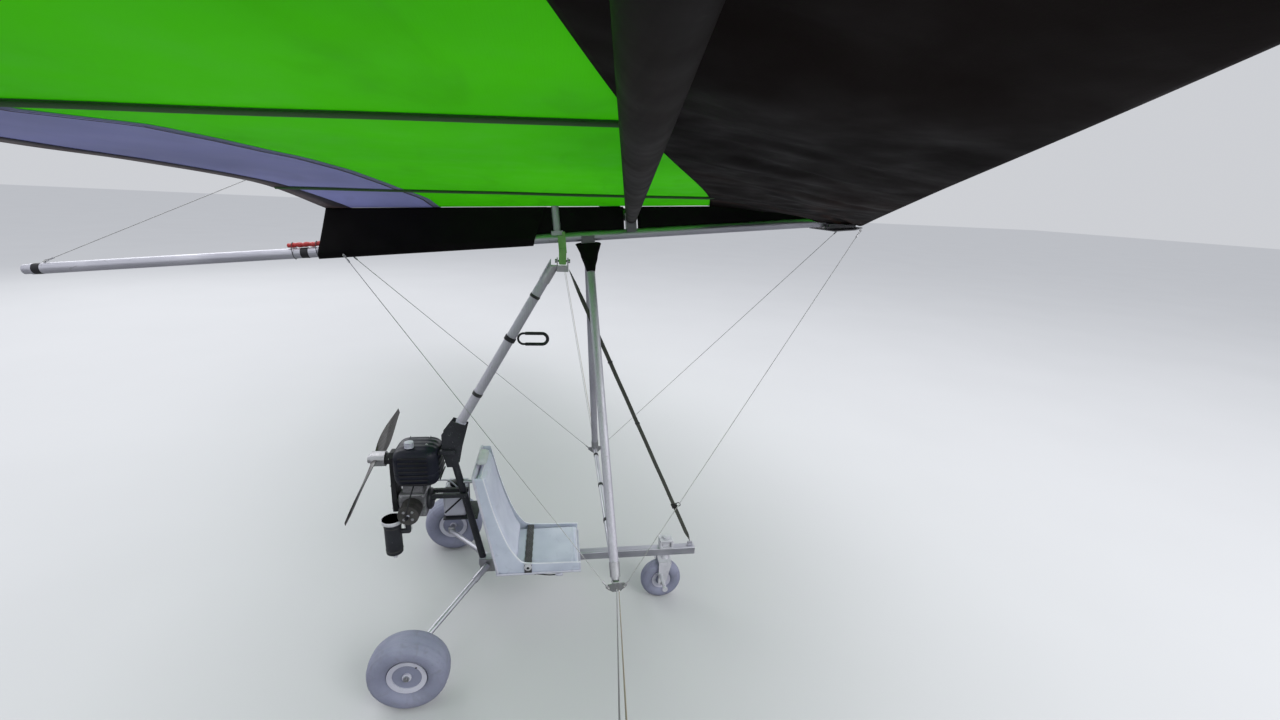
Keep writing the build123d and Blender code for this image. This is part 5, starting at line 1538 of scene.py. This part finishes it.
intake = [[
    (0, 0.016), (0.03, 0.016), (0.032, 0.026), (0.06, 0.026), (0.062, 0.02), (0.07, 0.02), (0.072, 0.034),
    (0.12, 0.036), (0.126, 0.03), (0.126, 0),
]]
intake += [[(0.075 + k * 0.005, 0.034), (0.0765 + k * 0.005, 0.0375), (0.078 + k * 0.005, 0.034)] for k in range(9)]
intake = [lathe(profile, trike(CYL_X, 0.075, CRANK_Z + 0.012), Y_AXIS, 32) for profile in intake]
piece("intake_and_filter", intake, "trike", dark_alloy)


def on_silencer(z):
    """A place on the silencer's axis."""
    return trike(-0.93, -0.12, z)


silencer_rings = [
    lathe([(0, 0.0532), (0.002, 0.0542), (0.0195, 0.0542), (0.0218, 0.0532)], on_silencer(0.7002), Z_AXIS, 44),
    lathe(
        [(0, 0.011), (-0.034, 0.011), (-0.034, 0.0095), (-0.03, 0.0093), (-0.03, 0)],
        on_silencer(0.507), Z_AXIS, 24,
    ),
]
piece("silencer_ring", silencer_rings, "trike", bright_rim)
welds = [
    tube([on_silencer(z) + Vector((math.cos(a), math.sin(a), 0)) * 0.0452 for a in turns(48)], 0.0016, 8, closed=True)
    for z in (0.53, 0.675)
]
piece("silencer_welds", welds, "trike", dark_alloy)
springs = []
for x in (-0.8645, -0.8305):
    coil = []
    for k in range(90):
        t = k / 89
        spot = trike(x, -0.12, 0.69).lerp(trike(x, -0.12, 0.645), t)
        coil.append(spot + Vector((math.cos(t * 62), math.sin(t * 62), 0)) * 0.0032)
    springs.append(tube(coil, 0.0008, 6))
piece("exhaust_springs", springs, "trike", steel)


def knurls(centre, radius, count, size, rounding):
    """Grip bars round a cap."""
    return [
        box(centre + Vector((math.cos(a), math.sin(a), 0)) * radius, size, rounding, Matrix.Rotation(a, 3, "Z"))
        for a in turns(count)
    ]


cap_at = trike(CAP_X, CAP_Y, 1.1522)
grip = [lathe([(0, 0.0236), (0.003, 0.0232), (0.004, 0.018), (0.004, 0)], cap_at, Z_AXIS, 36)]
grip += knurls(cap_at + lift(-0.011), 0.0238, 20, (0.0022, 0.0034, 0.018), 0.0008)
piece("filler_cap_grip", grip, "trike", pale_plastic)
tank_cap = [(0, 0.03), (0.004, 0.031), (0.018, 0.031), (0.021, 0.027), (0.021, 0)]
tank_bits = [lathe(tank_cap, trike(-0.63, 0.13, 0.7802), Z_AXIS, 36)]
tank_bits += knurls(trike(-0.63, 0.13, 0.79), 0.0312, 18, (0.002, 0.004, 0.015), 0.0007)
piece("tank_cap", tank_bits, "trike", black_plastic)

# Tank straps and gauge, fuel line with its filter

tank_straps = []
for y in (0.09, 0.175):
    path = [trike(x, y, z) for x, z in (
        (-0.6912, 0.614), (-0.6915, 0.765), (-0.68, 0.7808), (-0.57, 0.7808), (-0.5585, 0.765),
        (-0.5588, 0.614),
    )]
    dense = [spot for a, b in zip(path, path[1:]) for spot in straight(a, b, 12)[:-1]] + [path[-1]]
    tank_straps.append(strip(dense, Vector((0, 0.022, 0)), 0.0016))
piece("tank_straps", tank_straps, "trike", black_web)
slot_line = [trike(-0.682 + 0.112 * k / 20, 0.0447, 0.64 + 0.11 * k / 20) for k in range(21)]
piece("tank_gauge_slot", strip(slot_line, Vector((-0.007, 0, 0.007)), 0.0012), "trike", black_plastic)
fuel_line = curve_points([
    trike(-0.57, 0.11, 0.628), trike(-0.548, 0.08, 0.64), trike(-0.56, 0.04, 0.72), trike(-0.6, 0.046, 0.8),
    trike(-0.66, 0.09, 0.83), trike(-0.745, 0.12, 0.815), trike(CYL_X, 0.125, CRANK_Z + 0.036),
], 60)
piece("fuel_line", tube(fuel_line, 0.004, 10), "trike", pale_plastic)
filter_shell = both_ends([(0.03, 0.0042), (0.028, 0.006), (0.022, 0.0125), (0.018, 0.013)])
filter_axis = (fuel_line[26] - fuel_line[22]).normalized()
piece("fuel_filter", lathe(filter_shell, fuel_line[24], filter_axis, 28), "trike", pale_plastic)

# Bolts on the trike frame, the keel's plug and the lever under the seat

frame_bolts = []
for x, z in ((-0.455, 0.322), (-0.455, 0.348), (-0.42, 0.335)):
    for y in (-1, 1):
        frame_bolts += bolt(trike(x, y * KEEL_SIDE, z), (0, y, 0), 0.0055, 0.005)
for x in (0.632, 0.692):
    for y in (-1, 1):
        frame_bolts += bolt(trike(x, y * 0.0205, 0.386), (0, y, 0), 0.006, 0.005)
for x in (0.802, 0.838):
    frame_bolts += bolt(trike(x, 0.0, 0.36), Z_AXIS, 0.0038, 0.003)
piece("trike_bolts", frame_bolts, "trike", steel)
keel_plug = box(trike(0.8494, 0, 0.335), (0.002, 0.044, 0.044), 0.0008)
piece("keel_front_plug", keel_plug, "trike", black_plastic)
lever_pivot = trike(-0.15, -0.186, 0.356)
arm = [lever_pivot, trike(-0.115, -0.19, 0.353), trike(-0.07, -0.196, 0.35), trike(-0.028, -0.198, 0.352)]
lever = [
    box(lever_pivot + Vector((0, 0.006, 0.0045)), (0.034, 0.003, 0.0108), 0.0008),
    lathe(
        [(-0.01, 0.0045), (-0.008, 0.0055), (0.002, 0.0055), (0.004, 0.0045), (0.004, 0)], lever_pivot, (0, -1, 0), 20,
    ),
    tube(curve_points(arm, 24), 0.0034, 10),
]
piece("seat_lever", lever, "trike", black_plastic)
knob = [(-0.004, 0.0038), (0.002, 0.0075), (0.014, 0.0095), (0.03, 0.0098), (0.037, 0.008), (0.04, 0.004), (0.0405, 0)]
piece("lever_knob", lathe(knob, trike(-0.03, -0.198, 0.352), (1, -0.04, 0.05), 24), "trike", pale_plastic)

# Root curtain between the keel and the cloth, either side of the crossbar hinge

curtains = []
for start, end in ((-0.135, -0.0385), (-0.0015, 0.33), (0.402, 1.44)):
    def on_curtain(i, j, start=start, end=end):
        x = start + (end - start) * i
        low = KEEL_R - 0.002
        wave = 0.0035 * math.sin(x * 31 + j * 2.0) * math.sin(math.pi * j)
        return wing(x, wave, low + (root_under(x) - low) * j)

    curtains.append(grid(on_curtain, 60, 10))
curtain = cloth("root_curtain", curtains, black, 0.0012)

# Camera, floor, light

IMAGE_W, FOCAL_PX, SENSOR = 1280, 541.0, 36.0
CAMERA_AT = trike(-0.039, -2.901, 2.49)
CAMERA_YAW, CAMERA_PITCH, CAMERA_ROLL = 0.163, 0.292, 0.049
level = Vector((math.cos(CAMERA_YAW), -math.sin(CAMERA_YAW), 0))
forward = Vector((
    math.sin(CAMERA_YAW) * math.cos(CAMERA_PITCH), math.cos(CAMERA_YAW) * math.cos(CAMERA_PITCH),
    -math.sin(CAMERA_PITCH),
))
right = level * math.cos(CAMERA_ROLL) + level.cross(forward) * math.sin(CAMERA_ROLL)
up = right.cross(forward)


def shown(name, data):
    """An object of the scene that is no piece."""
    thing = bpy.data.objects.new(name, data)
    bpy.context.scene.collection.objects.link(thing)
    return thing


lens = bpy.data.cameras.new("view")
lens.sensor_width = SENSOR
lens.lens = FOCAL_PX / IMAGE_W * SENSOR
lens.clip_start, lens.clip_end = 0.01, 200
eye = shown("view", lens)
eye.matrix_world = Matrix.Translation(CAMERA_AT) @ Matrix((right, up, -forward)).transposed().to_4x4()
bpy.context.scene.camera = eye

FLOOR_HALF, FLOOR_Z = 90.0, -0.001
floor_look = Shader("floor", rough=0.95, shine=0.0)
pale_floor = floor_look.mix(floor_look.noise(0.6), (0.5, 0.505, 0.515), (0.53, 0.535, 0.545))
seen = floor_look.node("ShaderNodeLightPath").outputs["Is Camera Ray"]
floor_look.colour(floor_look.mix(seen, (0.26, 0.26, 0.27), pale_floor))
floor_mesh = bpy.data.meshes.new("floor")
floor_corners = [(FLOOR_HALF * x, FLOOR_HALF * y, 0) for x, y in ((-1, -1), (1, -1), (1, 1), (-1, 1))]
floor_mesh.from_pydata(floor_corners, [], [(0, 1, 2, 3)])
floor_mesh.materials.append(floor_look.material)
floor = shown("floor", floor_mesh)
floor.location.z = FLOOR_Z

SKY_LIGHT, SKY_SEEN = 1.05, 0.66
world = bpy.data.worlds.new("studio")
bpy.context.scene.world = world
world.use_nodes = True
sky = world.node_tree.nodes["Background"]
sky.inputs["Color"].default_value = (0.93, 0.95, 1.0, 1.0)
path = world.node_tree.nodes.new("ShaderNodeLightPath")
level_of = world.node_tree.nodes.new("ShaderNodeMix")
level_of.inputs["A"].default_value = SKY_LIGHT
level_of.inputs["B"].default_value = SKY_SEEN
world.node_tree.links.new(path.outputs["Is Camera Ray"], level_of.inputs["Factor"])
world.node_tree.links.new(level_of.outputs["Result"], sky.inputs["Strength"])

for name, spot, target, power, size in (
    ("key", (9.0, -11.0, 11.0), (0, 0, 1), 1200, 8.0),
    ("back", (-9.0, 11.0, 9.0), (0, 0, 1), 500, 8.0),
    ("top", (0.0, 0.0, 13.0), (0, 0, 0), 700, 10.0),
):
    lamp = bpy.data.lights.new(name, "AREA")
    lamp.energy, lamp.size = power, size
    lamp_thing = shown(name, lamp)
    lamp_thing.location = spot
    lamp_thing.rotation_euler = (Vector(target) - Vector(spot)).to_track_quat("-Z", "Y").to_euler()

bpy.context.scene.view_settings.view_transform = "Standard"
